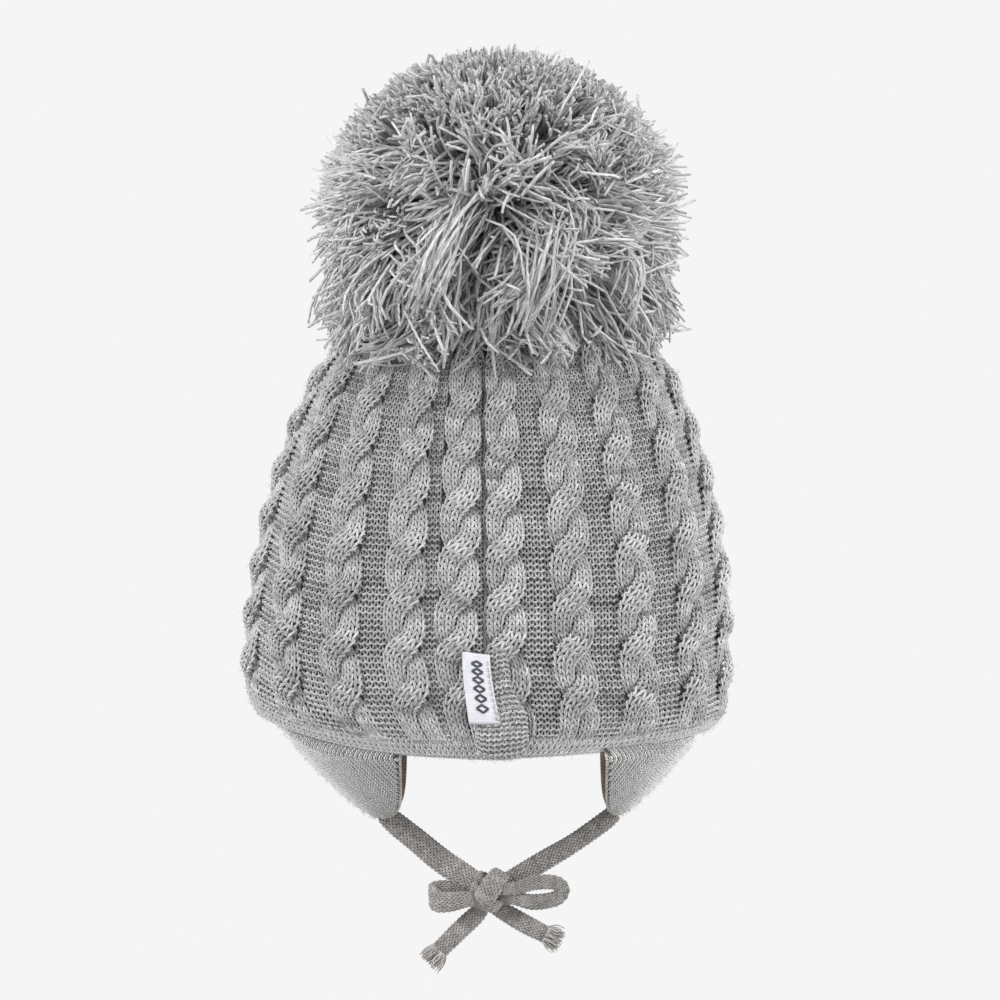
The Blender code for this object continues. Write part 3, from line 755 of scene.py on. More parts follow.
def ties():
    left_fray = frayed_end("frayed_end_left", LEFT_TAIL, "tail_fringe_left")
    right_fray = frayed_end("frayed_end_right", RIGHT_TAIL, "tail_fringe_right")
    wraps = knot()
    flat = TOWARDS_BACK
    through = mm((-1.0, -1.6, -54.0), (4.6, -3.6, -55.2))
    back_through = mm((4.4, -1.0, -60.0), (-0.6, 1.6, -62.6))
    route = LEFT_TIE + through + RIGHT_LOOP + back_through + LEFT_TAIL
    halves = [0.0034, 0.0040, 0.0042, 0.0044, 0.0042, 0.0028, 0.0024]
    halves += [0.0022, 0.0025, 0.0025, 0.0024, 0.0026, 0.0027, 0.0023]
    halves += [0.0022, 0.0024, 0.0032, 0.0033, 0.0031]
    tilt = (0.0, -1.0, 0.25)
    facings = [flat] * 8 + [tilt, tilt, (0.5, -1.0, 0.0)] + [flat] * 8
    cord_piece(
        "tie_cord_left", route, halves, facings,
        ["left_tie", "bow_loop_right", "tie_tail_left"],
    )
    through = mm((4.0, 0.6, -55.6), (-2.6, 1.8, -56.6))
    back_through = mm((-2.6, -2.4, -60.4), (2.6, 1.0, -63.0))
    route = RIGHT_TIE[::-1] + through + LEFT_LOOP + back_through + RIGHT_TAIL
    halves = [0.0030, 0.0033, 0.0033, 0.0036, 0.0035, 0.0026, 0.0024]
    halves += [0.0028, 0.0033, 0.0037, 0.0039, 0.0038, 0.0034, 0.0028]
    halves += [0.0022, 0.0024, 0.0031, 0.0033, 0.0029]
    turning = [(-0.3, 1.0, 0.0), (-1.0, 0.0, 0.0), (-0.4, -1.0, 0.0)]
    facings = [(0.0, 1.0, 0.0)] * 9 + turning + [flat] * 7
    cord_piece(
        "tie_cord_right", route, halves, facings,
        ["right_tie", "bow_loop_left", "tie_tail_right"],
    )


ties()


# ---------------------------------------------------------------- cable-knit shell
def strand_turn(row):
    """Phase of a cable's crossing at a row: still at first, then quickest in mid-crossing."""
    phase = math.pi * np.maximum(row - PLAIN_ROWS, 0.0) / CROSSING_ROWS
    return phase - 0.24 * np.sin(2.0 * phase)


def seam_drift(centre, level):
    """The cable left of the seam closes up to it higher up the hat."""
    return (0.0018 if centre > GIRTH - 0.02 else 0.0) * smooth_step(14.0, 40.0, level)


def add_strand(yarns, centre, ply):
    """One three-wale strand of a cable, swinging over and under its twin."""
    across, rise, front = stitches(CABLE_WALES // 2)
    rows = np.arange(-1, SHELL_ROWS)[:, None]
    level = rows + rise[None]
    phase = strand_turn(level) + ply * math.pi
    swing = -STRAND_SWING * np.cos(phase) + seam_drift(centre, level)
    turning = strand_turn(level + 0.5) - strand_turn(level - 0.5)
    slope = turning * STRAND_SWING * np.sin(phase) / row_pitch
    lean = np.arctan(slope) * 0.65
    crossing = np.where(level > PLAIN_ROWS, np.sin(phase), 0.0)
    spread = 1.0 + 0.30 * np.maximum(crossing, 0.0) - 0.12 * np.maximum(-crossing, 0.0)
    off = (across[None] - CABLE_WALES / 4.0) * WALE * spread
    arc = centre + swing + off * np.cos(lean)
    row = level - off * np.sin(lean) / row_pitch
    edge = np.abs(off) / (WALE * CABLE_WALES / 4.0)
    height = STRAND_HEIGHT * crossing - STRAND_CROWN * edge**2.2 - CABLE_DEPTH + STRAND_CROWN * 0.5
    size = loop_size(arc, row)
    height = height * (0.35 + 0.65 * size) * (0.55 + 0.45 * smooth_step(0.0, 5.0, level))
    height = height + front[None] * 0.00054 * size
    place, normal = on_shell(arc, row, height)
    tone_and_painted_shade = rng.standard_normal(len(rows)) * 0.35
    yarns.tubes(place, YARN_RADIUS * size * 0.92, normal, sides=4, tone_and_painted_shade=tone_and_painted_shade)


def add_purl(yarns, left, right, wales):
    """A run of purl wales between two arc lengths, its ends tucked under its neighbours."""
    across, rise, front = stitches(wales, loop_open=1.5, half_rise=0.62)
    rows = np.arange(-1, SHELL_ROWS)[:, None]
    arc = left + (right - left) * across[None] / wales + np.zeros((len(rows), 1))
    row = rows + rise[None]
    step = np.arange(len(across))
    ends = np.minimum(step, step[::-1])
    face = -np.interp(ends, [0, 2], [0.0, 1.0])
    size = loop_size(arc, row)
    tuck = 0.0009 * np.interp(ends, [0, 2], [1.0, 0.0])
    depth = PURL_DEPTH * (0.45 + 0.55 * smooth_step(0.0, 5.0, row))
    bumps = 1.0 + 0.25 * rng.standard_normal((len(rows), 1))
    height = -depth * (0.35 + 0.65 * size) + (face * front)[None] * 0.00066 * size * bumps - tuck
    place, normal = on_shell(arc, row, height)
    tone_and_painted_shade = rng.standard_normal(len(rows)) * 0.35
    yarns.tubes(place, YARN_RADIUS * size * 0.88, normal, sides=4, tone_and_painted_shade=tone_and_painted_shade)


def cable_centres():
    """Arc lengths of the cables: eighteen evenly spaced, and one beside the seam."""
    first, repeat = 0.0066, 0.02716
    return [first + repeat * i for i in range(18)] + [GIRTH - 0.0126]


def shell_loops():
    """Cables, and the purl wales between them, all round from the seam."""
    yarns = Yarns()
    half = WALE * CABLE_WALES / 2.0
    centres = cable_centres()
    for centre in centres:
        for ply in (0, 1):
            add_strand(yarns, centre, ply)
    under = 0.0013
    for a, b in zip(centres, centres[1:]):
        gap = b - a - 2.0 * half
        add_purl(yarns, a + half - under, b - half + under, PURL_WALES + 1 if gap > 0.008 else 3)
    add_purl(yarns, centres[-1] + half - under, GIRTH + SEAM_ARC + 0.0002, 2)
    yarns.fuzz(16000, 0.0022)
    piece(yarns, "cable_knit_loops", body_wool, "cable_knit", "hat", "knit_shell")


def shell_ground():
    """Dark sheet under the loops: painted shade seen in the gaps between them."""
    yarns = Yarns()
    arc = np.linspace(0.0, GIRTH, 240, endpoint=False)[None]
    level = np.linspace(0.0, SHELL_ROWS, 70)[:, None]
    size = loop_size(arc, level)
    outer, _ = on_shell(arc, level, -0.0044 * (0.5 + 0.5 * size))
    inner, _ = on_shell(arc, level, -0.0052 * (0.5 + 0.5 * size))
    yarns.sheet(outer, inner, closed=True)
    piece(yarns, "shell_ground", painted_shade_cloth, "cable_knit", "hat", "knit_shell")


shell_loops()
shell_ground()


# ---------------------------------------------------------------- hem
HEM_FOLD = 0.0022


def on_hem(around, down, lift):
    """Hem surface at a distance down its outside, round the fold and up its inside."""
    straight = HEM_HEIGHT - HEM_FOLD
    row = -np.clip(down, 0.0, straight) / HEM_HEIGHT * HEM_ROWS
    row = np.clip(row, -HEM_ROWS, -1e-6)
    place = surface.read(surface.grid, around, row)
    normal = surface.read(surface.normals, around, row)
    climb = surface.read(surface.climbs, around, row)
    turn = np.clip((down - straight) / HEM_FOLD, 0.0, math.pi)
    inside = np.maximum(down - straight - math.pi * HEM_FOLD, 0.0)
    centre = place - normal * HEM_FOLD
    reach = np.asarray(HEM_FOLD + lift)
    out = normal * np.cos(turn)[..., None] - climb * np.sin(turn)[..., None]
    return centre + out * reach[..., None] + climb * inside[..., None], out


def hem_loops():
    yarns = Yarns()
    wales = 204
    across, rise, front = stitches(wales, loop_open=1.9, half_rise=0.80)
    row = 0.00190
    count = 10
    seam = np.interp(SEAM_ARC % GIRTH, arcs, surface.rounds)
    around = seam + 0.075 + across[None] / wales * 2.0 * math.pi
    down = -0.0006 + (np.arange(count)[:, None] + 0.5 - rise[None]) * row
    settle = 0.0007 * smooth_step(0.005, -0.001, down)
    place, normal = on_hem(around, down, front[None] * 0.00070 - 0.0006 - settle)
    edge = np.where((np.arange(count) > 2) & (np.arange(count) < 6), 1.2, 0.8)
    yarns.tubes(place, 0.00044, normal, sides=4, tone_and_painted_shade=rng.standard_normal(count) * 0.15 + edge)
    yarns.fuzz(3000, 0.0018)
    piece(yarns, "hem_jersey_loops", body_wool, "hem_knit", "hat", "hem_band")


# Dark sheet under the hem loops: painted shade seen between them.
def hem_ground():
    yarns = Yarns()
    rounds = np.linspace(0.0, 2.0 * math.pi, 180, endpoint=False)[None]
    levels = np.linspace(0.0002, 2.0 * HEM_HEIGHT + 0.002, 26)[:, None]
    outer, _ = on_hem(rounds, levels, -0.0014)
    inner, _ = on_hem(rounds, levels, -0.0020)
    yarns.sheet(outer[::-1], inner[::-1], closed=True)
    piece(yarns, "hem_ground", painted_shade_cloth, "hem_knit", "hat", "hem_band")


hem_loops()
hem_ground()


# ---------------------------------------------------------------- pom-pom
POM_CENTRE = np.array((CROWN_LEAN + 0.0008, 0.0, 0.2168))
POM_RADIUS = 0.0705
POM_HALF_HEIGHT = 0.0630
WHORL = unit(np.array((0.14, -1.0, -0.12)))
POM_PIVOT = np.array((CROWN_LEAN, 0.0, 0.184))
ANCHOR_KNOT = POM_PIVOT - np.array((0.0, 0.0, 0.0078))


def sphere_spread(count):
    index = np.arange(count) + 0.5
    polar = np.arccos(1.0 - 2.0 * index / count)
    turn = math.pi * (1.0 + 5.0**0.5) * index
    return on_sphere(polar, turn)


def pom_strands():
    """Cut yarn in tufts: end-on over the top, tumbled at the back, long over the crown."""
    tufts, per_tuft, points = 440, 30, 12
    heads = unit(sphere_spread(tufts) + rng.normal(size=(tufts, 3)) * 0.045)
    outward = heads @ WHORL
    high = smooth_step(0.30, 0.62, heads[:, 2:3])
    front = smooth_step(0.05, 0.80, outward)[:, None] * (1.0 - high)
    low = smooth_step(0.0, -0.60, heads[:, 2:3])
    away = unit(heads - outward[:, None] * WHORL + rng.normal(size=(tufts, 3)) * 0.30)
    swirl = unit(np.cross(heads, rng.normal(size=(tufts, 3))))
    fall = np.array((0.0, 0.0, -1.0))
    bend = away * (0.04 + 0.38 * front) + swirl * (0.07 + 0.40 * front) * rng.normal(size=(tufts, 1))
    bend = bend + fall * (0.04 + 0.10 * front + 0.34 * low) + swirl * 0.10 * low
    strands = tufts * per_tuft
    tuft = np.repeat(np.arange(tufts), per_tuft)
    scatter = rng.normal(size=(strands, 3)) * 0.066
    root = unit(heads[tuft] + scatter)
    gather = 0.95 - 0.45 * front[tuft]
    wander = rng.normal(size=(strands, 3)) * (0.030 + 0.045 * front[tuft])
    tip = unit(heads[tuft] + bend[tuft] + scatter * gather + wander)
    stray = rng.random(strands) < 0.030 - 0.024 * high[tuft][:, 0]
    tip[stray] = unit(tip[stray] + rng.normal(size=(stray.sum(), 3)) * 0.20)
    depth = tip[:, 2:3]
    longer = 0.05 * smooth_step(-0.10, -0.35, depth) + 0.19 * smooth_step(-0.40, -0.60, depth)
    longer = longer * (1.0 - 0.4 * smooth_step(-0.75, -0.92, depth))
    uneven = rng.normal(size=(strands, 1)) * (0.014 + 0.026 * front[tuft])
    uneven = uneven + rng.normal(size=(tufts, 1))[tuft] * (0.010 + 0.035 * front[tuft])
    uneven = uneven * (1.0 - 0.5 * high[tuft]) - 0.02 * high[tuft]
    reach = 1.0 + longer + uneven + 0.03 * stray[:, None]
    share = np.linspace(0.0, 1.0, points)[None, :, None]
    curl = 1.05 + 1.1 * rng.random((tufts, 1))[tuft]
    turn = share ** curl[:, None]
    direction = unit(root[:, None] * (1.0 - turn) + tip[:, None] * turn)
    lift = 0.36 + 0.64 * (1.0 - (1.0 - share) ** 1.25)
    size = np.array((POM_RADIUS, POM_RADIUS, POM_HALF_HEIGHT))
    paths = POM_CENTRE + direction * lift * reach[:, None] * size
    wave = rng.normal(size=(strands, 2, 3)) * np.array((0.0015, 0.0013))[None, :, None]
    loose = (0.7 + 0.9 * front[tuft] + 1.2 * stray[:, None])[:, None]
    paths = paths + loose * (wave[:, :1] * np.sin(share * 4.1) + wave[:, 1:] * np.sin(share * 10.7))
    radii = np.full((strands, points), 0.00058) * (1.0 + rng.normal(size=(strands, 1)) * 0.12)
    radii[:, -1] *= 0.85
    yarns = Yarns()
    aside = rng.normal(size=(strands, 1, 3)) * 0.03
    side = np.cross(paths - POM_CENTRE + aside, np.gradient(paths, axis=1))
    # Painted shade: high tufts and tufts facing the whorl are darker than the rest.
    shade = 1.0 - 1.5 * high[tuft][:, 0] - 1.0 * front[tuft][:, 0]
    yarns.tubes(paths, radii, unit(side), sides=4, tone_and_painted_shade=rng.normal(size=strands) * 0.5 + shade)
    yarns.fuzz(16000, 0.0024)
    piece(yarns, "pom_strands", pom_wool, "pom_yarn", "pom", "pom_yarn")


def pom_heart():
    """The bound middle of the pom-pom, where its yarns are packed too close to tell apart; it is dark
    cloth, painted shade deep inside the pom-pom.
    """
    yarns = Yarns()
    rings, sides = 24, 48
    polar = np.linspace(0.04, math.pi - 0.04, rings)[:, None]
    turn = np.linspace(0.0, 2.0 * math.pi, sides, endpoint=False)[None]
    ball = on_sphere(polar, turn)
    rough = 1.0 + 0.05 * rng.normal(size=(rings, sides, 1))
    middle = POM_CENTRE + np.array((0.0, 0.0, 0.009))
    yarns.sheet((middle + ball * 0.031 * rough)[::-1], (middle + ball * 0.027)[::-1], closed=True)
    nodes = ("pom_yarn", "pom_binding", "pom_tie_ends")
    piece(yarns, "pom_heart", painted_shade_cloth, "pom_yarn", "pom", *nodes)


pom_strands()
pom_heart()


# ---------------------------------------------------------------- ear flaps
FLAP_EDGE_X = {"left": 0.0336, "right": 0.0474}
FLAP_TOP_HALF_WIDTH = 0.0885
FLAP_TOP_HALF_DEPTH = 0.0500
FLAP_TIP = {"left": np.array((-0.0410, 0.0, -0.0270)), "right": np.array((0.0515, 0.0, -0.0255))}
FLAP_FOOT = {"left": -0.0282, "right": -0.0268}
FLAP_FLARE = {"left": (0.0420, 2.803, 0.737), "right": (0.0525, 1.981, 0.80)}
FLAP_TUCK = 0.0040
FLAP_DRAW = 0.45


def flap_point(side, across, up):
    """Outer surface of a flap: across -1 to 1 between its edges, up 0 at the tip, 1 at the hem."""
    across, up = np.broadcast_arrays(across, up)
    sign = -1.0 if side == "left" else 1.0
    edge, foot = FLAP_EDGE_X[side], FLAP_FOOT[side]
    base, spread, power = FLAP_FLARE[side]
    over = np.maximum(up - 1.0, 0.0)
    inside = np.clip(up, 0.0, 1.0)
    turn = np.radians(10.0 + 80.0 * inside)
    risen = 1.0 - np.cos(turn) ** 1.2
    climb = HEM_RISE[side] - HEM_DROP - 0.0024 - foot
    half_width = base + spread * (risen * climb / MM) ** power * MM
    inner = edge + (base - 0.0010 - edge) * (1.0 - inside) ** 5
    reach = np.arccos(np.minimum(inner / half_width, 0.9995))
    angle = across * reach
    edge_y = FLAP_TOP_HALF_DEPTH * (1.0 - 0.87 * (1.0 - inside) ** 1.35)
    hem_turn = math.pi if side == "left" else 0.0
    top = hem_z(angle + hem_turn) + 0.0006 - 0.0030 * np.cos(angle) ** 2
    height = foot + (top - foot) * risen + over * 0.07
    y = sign * edge_y * np.sin(angle) / np.sin(reach)
    place = np.stack([sign * half_width * np.cos(angle), y, height], axis=-1)
    inward = FLAP_TUCK * smooth_step(1.0, 1.09, up)
    level = np.stack([place[..., 0] / FLAP_TOP_HALF_WIDTH**2, y / 0.055**2, 0.0 * y], axis=-1)
    return place - unit(level) * inward[..., None]


def flap_frame(side, across, up, lift):
    step = 0.01
    right = flap_point(side, across + step, up) - flap_point(side, across - step, up)
    climb = flap_point(side, across, up + step) - flap_point(side, across, up - step)
    normal = unit(np.cross(right, climb))
    return flap_point(side, across, up) + normal * np.asarray(lift)[..., None], normal


def flap_loops(yarns, side):
    """Wales of jersey loops from the tip up to the hem, drawn together as the flap narrows."""
    up = np.linspace(0.012, 1.085, 170)
    level = flap_point(side, np.linspace(0.0, 1.0, 60)[None], up[:, None])
    girth = np.linalg.norm(np.diff(level, axis=1), axis=2).sum(axis=1)
    top = np.interp(1.0, up, girth)
    pitch = FLAP_WALE / top * (top / girth) ** FLAP_DRAW
    beat = np.array(((0.08, -0.30), (0.24, 0.05), (0.28, 0.50), (0.13, 0.98)))
    lift = np.array((-0.00065, 0.0, 0.00010, -0.00065))
    for number in range(int(top / FLAP_WALE) + 1):
        kept = (number + 0.5) * pitch < 0.992
        if kept.sum() < 6:
            continue
        u, gap = up[kept], pitch[kept]
        # Painted light and shade: one leg of each loop is lighter and the other darker, more so towards
        # the flap's edges.
        leg_light_and_shade = 0.7 + 1.1 * smooth_step(0.15, 0.55, (number + 0.5) * FLAP_WALE / top)
        for half in (-1.0, 1.0):
            a = half * (number + 0.5) * gap
            place = flap_point(side, a, u)
            gone = lengths_along(place)
            count = max(1, int(gone[-1] / FLAP_ROW))
            reach = (np.arange(count)[:, None] + 0.3 + beat[None, :, 1]) * FLAP_ROW
            height, middle, width = (np.interp(reach, gone, values) for values in (u, a, gap))
            radius = 0.165 * width * np.interp(height, up, girth)
            for hand in (-1.0, 1.0):
                across = middle + hand * beat[None, :, 0] * width
                spot, out = flap_frame(side, across, height, lift)
                tone_and_painted_shade = rng.normal(size=count) * 0.25 + 1.1 - leg_light_and_shade * hand * half
                yarns.tubes(spot, radius, out, sides=4, tone_and_painted_shade=tone_and_painted_shade)


def flap_sheet(yarns, side, half_span, outside, inside, tone_and_painted_shade=0.0):
    """Thin sheet over a whole flap, between two lifts off its outer surface."""
    columns = np.linspace(-half_span, half_span, 90)[None]
    levels = np.linspace(0.01, 1.085, 60)[:, None]
    outer, _ = flap_frame(side, columns, levels, outside)
    inner, _ = flap_frame(side, columns, levels, inside)
    yarns.sheet(outer, inner, tone_and_painted_shade=tone_and_painted_shade)


def hang(made, node):
    """Bake a flap piece's placement into its mesh and hide the CAD node it stands for."""
    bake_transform(made)
    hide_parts(node)


def flap_jersey(side):
    yarns = Yarns()
    flap_loops(yarns, side)
    yarns.fuzz(1500, 0.0015)
    # The sheet's low tone darkens it: painted shade seen between the wales.
    flap_sheet(yarns, side, 0.992, -0.0007, -0.0012, tone_and_painted_shade=-2.0)
    made = yarns.build(side + "_flap_jersey", flap_wool)
    hang(made, side + "_flap_knit")


def flap_inside(side):
    """Lining of a flap, with the rolled rim that shows along both edges."""
    yarns = Yarns()
    flap_sheet(yarns, side, 0.998, -0.0013, -0.0019)
    levels = np.linspace(0.01, 1.04, 60)
    for edge in (-1.0, 1.0):
        rim, normal = flap_frame(side, edge, levels, -0.0009)
        yarns.tubes(rim[None], 0.00062, normal[None], sides=8)
    made = yarns.build(side + "_flap_inside", lining_cloth)
    hang(made, side + "_flap_lining")


def bar_tack(side, body):
    """Seven stitches that hold a tie to its flap."""
    yarns = Yarns()
    for i in range(7):
        lean = (i - 3) * 0.0006
        places = ((-0.0020, lean, 0.0006), (0.0, lean * 1.2 - 0.0012, 0.0014), (0.0020, lean, 0.0004))
        points = [FLAP_TIP[side] + np.array(place) for place in places]
        yarns.tubes(catmull(points, 9), 0.00032, (0.0, -1.0, 0.2), sides=6, tone_and_painted_shade=0.3)
    piece(yarns, side + "_bar_tack", thread, "thread", body, side + "_tie_tack")


for side, tack_body in (("left", "left_tack"), ("right", "right_flap")):
    flap_jersey(side)
    flap_inside(side)
    bar_tack(side, tack_body)


# ---------------------------------------------------------------- pieces behind the shell
def lining_cap():
    yarns = Yarns()
    rounds = np.linspace(0.0, 2.0 * math.pi, 160, endpoint=False)[None]
    rows = np.linspace(0.4, SHELL_ROWS, 60)[:, None]
    place = surface.read(surface.grid, rounds, rows)
    normal = surface.read(surface.normals, rounds, rows)
    drop = np.array((0.0, 0.0, -0.009)) * smooth_step(0.08, 0.19, place[..., 2:3]) ** 2
    folds = 0.0005 * np.sin(rounds * 23.0) * smooth_step(0.05, 0.17, place[..., 2])
    outer = place - normal * (0.0066 + folds)[..., None] + drop
    inner = place - normal * (0.0078 + folds)[..., None] + drop
    yarns.sheet(outer, inner, closed=True)
    piece(yarns, "lining_jersey_cap", lining_cloth, "lining_jersey", "hat", "inner_lining")


def seam_allowance():
    yarns = Yarns()
    rows = np.linspace(3.0, 70.0, 60)
    for offset, tone_and_painted_shade in ((-0.0016, -0.4), (0.0, 0.1), (0.0016, -0.3)):
        arc = np.full(60, SEAM_ARC % GIRTH) + offset
        place, normal = on_shell(arc, rows, -0.0058 + seam_dip(arc))
        yarns.tubes(place[None], 0.0007, normal[None], sides=8, flat=0.6, tone_and_painted_shade=tone_and_painted_shade)
    piece(yarns, "seam_allowance_folds", body_wool, "cable_knit", "hat", "seam_allowance")


def running_stitches(name, points, normals, pitch, radius, node):
    """Row of short stitches along a line of points."""
    gone = lengths_along(points)
    yarns = Yarns()
    for start in np.arange(pitch * 0.1, gone[-1] - pitch * 0.75, pitch):
        reach = start + np.linspace(0.0, pitch * 0.72, 7)
        place = read_along(points, gone, reach)
        normal = unit(read_along(normals, gone, reach))
        lift = radius * (1.4 * np.sin(np.linspace(0.0, math.pi, 7)) - 0.5)
        yarns.tubes((place + normal * lift[:, None])[None], radius, normal[None], sides=6)
    piece(yarns, name, thread, "thread", "hat", node)


def flap_seams():
    for side, middle in (("left", math.pi), ("right", 0.0)):
        around = middle + math.pi / 2.0 + np.linspace(-1.1, 1.1, 120)
        down = np.full(120, HEM_HEIGHT + math.pi * HEM_FOLD + 0.0018)
        place, normal = on_hem(around, down, 0.0002)
        name = side + "_flap_seam"
        running_stitches(name + "_stitches", place, normal, 0.0030, 0.00035, name)


def drawstring():
    """Two-ply cord that draws the crown in to a ring."""
    turns = np.linspace(0.0, 2.0 * math.pi, 241)
    yarns = Yarns()
    for ply in (0.0, math.pi):
        twist = turns * 22.0 + ply
        radius = 0.0125 + 0.00050 * np.cos(twist)
        height = 0.1896 + 0.00050 * np.sin(twist)
        place = np.stack([CROWN_LEAN + radius * np.cos(turns), radius * np.sin(turns), height], axis=1)
        yarns.tubes(place[None], 0.00062, (0.0, 0.0, 1.0), sides=6, tone_and_painted_shade=ply / 4.0)
    piece(yarns, "crown_drawstring_cord", body_wool, "cable_knit", "hat", "crown_drawstring")


def crown_gathers():
    """Pleats of the crown inside the ring of its drawstring."""
    yarns = Yarns()
    rounds = np.linspace(0.0, 2.0 * math.pi, 456, endpoint=False)[None]
    shares = np.linspace(0.0, 1.0, 22)[:, None]
    rim = surface.read(surface.grid, rounds, np.full_like(rounds, SHELL_ROWS - 0.01))
    hub = np.array((CROWN_LEAN, 0.0, CROWN_Z + 0.0012))
    way = unit((rim - hub) * np.array((1.0, 1.0, 0.0)))
    inner = hub + way * 0.0065
    place = rim * (1.0 - shares[..., None]) + inner * shares[..., None]
    wave = np.sin(rounds * 38.0) * 0.0011 * np.sin(math.pi * np.clip(shares * 0.9 + 0.1, 0, 1))
    bow = 0.0016 * np.sin(math.pi * shares)
    place = place + np.array((0.0, 0.0, 1.0)) * (wave + bow)[..., None]
    yarns.sheet(place, place - np.array((0.0, 0.0, 0.0012)), closed=True)
    piece(yarns, "crown_gathers", body_wool, "cable_knit", "hat", "knit_shell")


def thread_ball(name, centre, radii, body, node):
    """Knot of thread wound over itself."""
    radii = np.array(radii)
    yarns = Yarns()
    turns = np.linspace(0.0, 2.0 * math.pi, 25)
    for _ in range(9):
        axis = unit(rng.normal(size=3))
        one = unit(np.cross(axis, (0.3, 0.5, 0.9)))
        two = np.cross(axis, one)
        ring = (one * np.cos(turns)[:, None] + two * np.sin(turns)[:, None]) * radii * 0.86
        yarns.tubes((centre + ring)[None], 0.00055, unit(ring)[None], sides=6)
    polar = np.linspace(0.05, math.pi - 0.05, 12)[:, None]
    turn = np.linspace(0.0, 2.0 * math.pi, 20, endpoint=False)[None]
    ball = on_sphere(polar, turn)
    yarns.sheet((centre + ball * radii * 0.86)[::-1], (centre + ball * radii * 0.6)[::-1], closed=True)
    piece(yarns, name, thread, "thread", body, node)


lining_cap()
seam_allowance()
flap_seams()
drawstring()
crown_gathers()
thread_ball("anchor_knot_wraps", ANCHOR_KNOT, (0.0042, 0.0042, 0.0034), "hat", "anchor_knot")
thread_ball("pom_loop_wraps", POM_PIVOT, (0.0034, 0.0034, 0.0034), "pom_loop", "pom_anchor_loop")


# ---------------------------------------------------------------- centre-back seam tab
TAB_TOP = 0.0420
TAB_DROP = 0.0404
TAB_FOLD = 0.0016
TAB_ROW = 0.0020

# Outline of the tab from its foot up: height, left edge, right edge and front
TAB_OUTLINE = np.array((
    (0.0010, -0.0030, 0.0150, -0.0600),
    (0.0036, -0.0036, 0.0158, -0.0602),
    (0.0120, -0.0034, 0.0158, -0.0603),
    (0.0135, 0.0006, 0.0158, -0.0603),
    (0.0180, 0.0014, 0.0150, -0.0601),
    (0.0210, 0.0014, 0.0126, -0.0600),
    (0.0280, 0.0014, 0.0092, -0.0596),
    (0.0420, 0.0010, 0.0078, -0.0580),
))


def tab_outline(height):
    """Left edge, right edge and front of the tab at a height."""
    heights = TAB_OUTLINE[:, 0]
    return [np.interp(height, heights, values) for values in TAB_OUTLINE[:, 1:].T]


def on_tab(across, down, lift):
    """Point of the tab at a share of its width and a distance down it and round its fold."""
    across, down = np.broadcast_arrays(across, down)
    height = TAB_TOP - np.clip(down, 0.0, TAB_DROP)
    turn = np.clip((down - TAB_DROP) / TAB_FOLD, 0.0, math.pi)
    inside = np.maximum(down - TAB_DROP - math.pi * TAB_FOLD, 0.0)
    left, right, front = tab_outline(height)
    off = 2.0 * across - 1.0
    crown = 0.0010 * (1.0 - off**4)
    x = left + (right - left) * across
    height = height + 0.0024 * np.abs(off) ** 4 * smooth_step(0.028, 0.041, down)
    out = unit(np.stack([0.25 * off**3, -np.cos(turn), -np.sin(turn)], axis=-1))
    centre = np.stack([x, front + TAB_FOLD - crown, height + inside], axis=-1)
    return centre + out * np.asarray(TAB_FOLD + lift)[..., None], out


def seam_tab():
    """Reverse-knit end of the seam: a narrow wedge up beside the label, folded under below the hem."""
    yarns = Yarns()
    for r in range(25):
        left, right, _ = tab_outline(TAB_TOP - min(r * TAB_ROW, TAB_DROP))
        wales = max(2, round((right - left) / 0.0021))
        across, rise, front = stitches(wales, loop_open=1.5, half_rise=0.62)
        share = across / wales
        slack = 0.0005 * np.sin(share * 5.0 + 0.7)
        down = (r + 0.8 - rise) * TAB_ROW + slack + rng.normal(size=share.size) * 0.00012
        lift = -front * 0.00062 * (1.0 + 0.3 * rng.standard_normal(share.size))
        place, normal = on_tab(share, down, lift)
        yarns.tubes(place, 0.00054, normal, sides=5, tone_and_painted_shade=rng.standard_normal() * 0.4)
    yarns.fuzz(700, 0.0018)
    columns, levels = np.linspace(0.0, 1.0, 20)[None], np.linspace(0.0, 0.0505, 44)[:, None]
    outer, _ = on_tab(columns, levels, -0.0004)
    inner, _ = on_tab(columns, levels, -0.0012)
    # The sheet's low tone darkens it: painted shade seen between the loops.
    yarns.sheet(outer[::-1], inner[::-1], tone_and_painted_shade=-1.5)
    piece(yarns, "seam_tab_reverse_knit", body_wool, "cable_knit", "hat", "seam_tab")


seam_tab()


# ---------------------------------------------------------------- labels
def ribbon_edges(hinge, fold, level):
    """Points of the sewn edge and the fold at a level, each bowed through its three places."""
    foot = 2 * (level - 0.5) * (level - 1)
    middle = 4 * level * (1 - level)
    head = 2 * level * (level - 0.5)
    shares = np.stack([foot, middle, head], axis=-1)
    return shares @ np.array(hinge), shares @ np.array(fold)


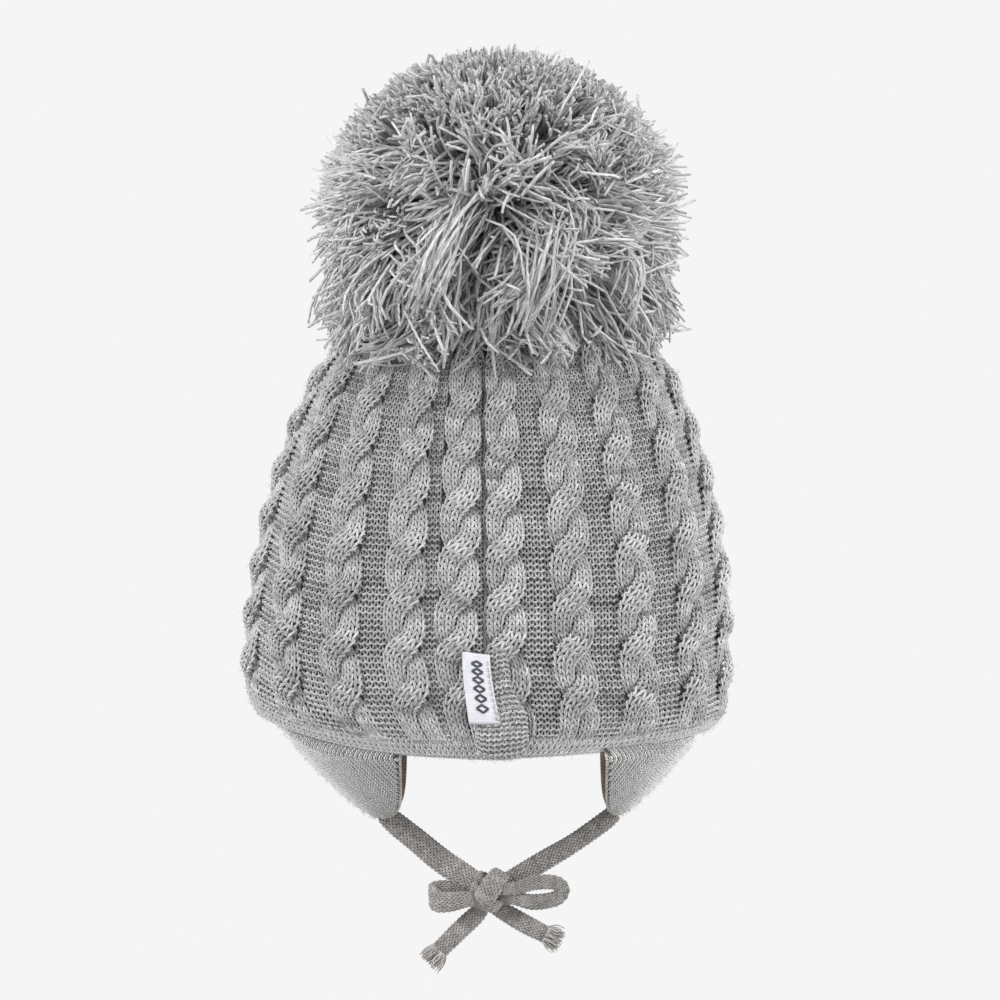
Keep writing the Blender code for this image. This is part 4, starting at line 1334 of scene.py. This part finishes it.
def ribbon(name, hinge, fold, thickness, bow, material):
    """Folded loop of ribbon between its sewn edge and its fold, each given as (foot, middle, head)."""
    levels = np.linspace(0.0, 1.0, 30)
    near, far = (edge[:, None] for edge in ribbon_edges(hinge, fold, levels))
    turns = np.linspace(0.0, 2.0 * math.pi, 48, endpoint=False)
    across = 0.5 - 0.5 * rounded(np.cos(turns), 0.35)
    out = rounded(np.sin(turns), 0.35) * thickness / 2.0
    base = near + (far - near) * across[None, :, None]
    bulge = np.sin(math.pi * across)[None] + 0.35 * np.sin(math.pi * levels)[:, None]
    middle = thickness / 2.0 - bow * bulge
    back = np.array((0.0, 1.0, 0.0))
    outer = base + back * (middle - out[None])[..., None]
    inner = base * 0.985 + base.mean(axis=(0, 1)) * 0.015
    inner = inner + back * (middle - out[None] * 0.55)[..., None]
    cloth = Yarns()
    cloth.sheet(outer, inner, closed=True)
    return cloth.build(name, material)


LABEL_HINGE = mm((5.9, -62.0, 13.1), (2.7, -62.2, 28.0), (1.5, -62.1, 39.9))
LABEL_FOLD = mm((-6.5, -62.0, 13.1), (-8.6, -62.2, 29.7), (-9.1, -62.1, 41.2))
LABEL_BOW = 0.0004


def label_face(across, level):
    """Point on the outer face of the label."""
    near, far = ribbon_edges(LABEL_HINGE, LABEL_FOLD, np.asarray(level, float))
    depth = -LABEL_BOW * (math.sin(math.pi * across) + 0.35 * math.sin(math.pi * level))
    return near + (far - near) * across + np.array((0.0, depth - 0.00005, 0.0))


def diamonds():
    """Row of six plain diamonds woven up the label."""
    yarns = Yarns()
    for i in range(6):
        level = 0.18 + 0.125 * i
        for height in (0.046, -0.046):
            left, right = label_face(0.30, level), label_face(0.68, level)
            tip = label_face(0.49, level + height)
            line = np.vstack([np.linspace(left, tip, 6), np.linspace(tip, right, 6)[1:]])
            yarns.tubes(line[None], 0.00055, TOWARDS_BACK, sides=6, flat=0.2, tone_and_painted_shade=-1.0)
    return yarns.build("label_woven_diamonds", mark_thread)


def woven_label():
    made = ribbon("woven_loop_label", LABEL_HINGE, LABEL_FOLD, 0.0011, LABEL_BOW, label_cloth)
    woven = diamonds()
    for part in (made, woven):
        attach(part, "label")
        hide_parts("woven_label")
    shares = np.linspace(0.04, 0.96, 40)
    line = np.array([label_face(0.08, share) + np.array((0.0, -0.0001, 0.0)) for share in shares])
    normals = np.tile(TOWARDS_BACK, (40, 1))
    running_stitches("label_stitches", line, normals, 0.0024, 0.00022, "label_stitching")


def care_label():
    lean = math.radians(-13.0)
    side = np.array((math.cos(lean), math.sin(lean), 0.0)) * 0.010
    centre = np.array((-0.019, -0.0475, 0.032))
    up = np.array((0.0, 0.0, 0.016))
    levels = (centre - up, centre, centre + up)
    hinge = [level + side for level in levels]
    fold = [level - side for level in levels]
    tape = ribbon("care_label_tape", hinge, fold, 0.0008, -0.0004, label_cloth)
    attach(tape, "hat")
    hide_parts("care_label")


woven_label()
care_label()
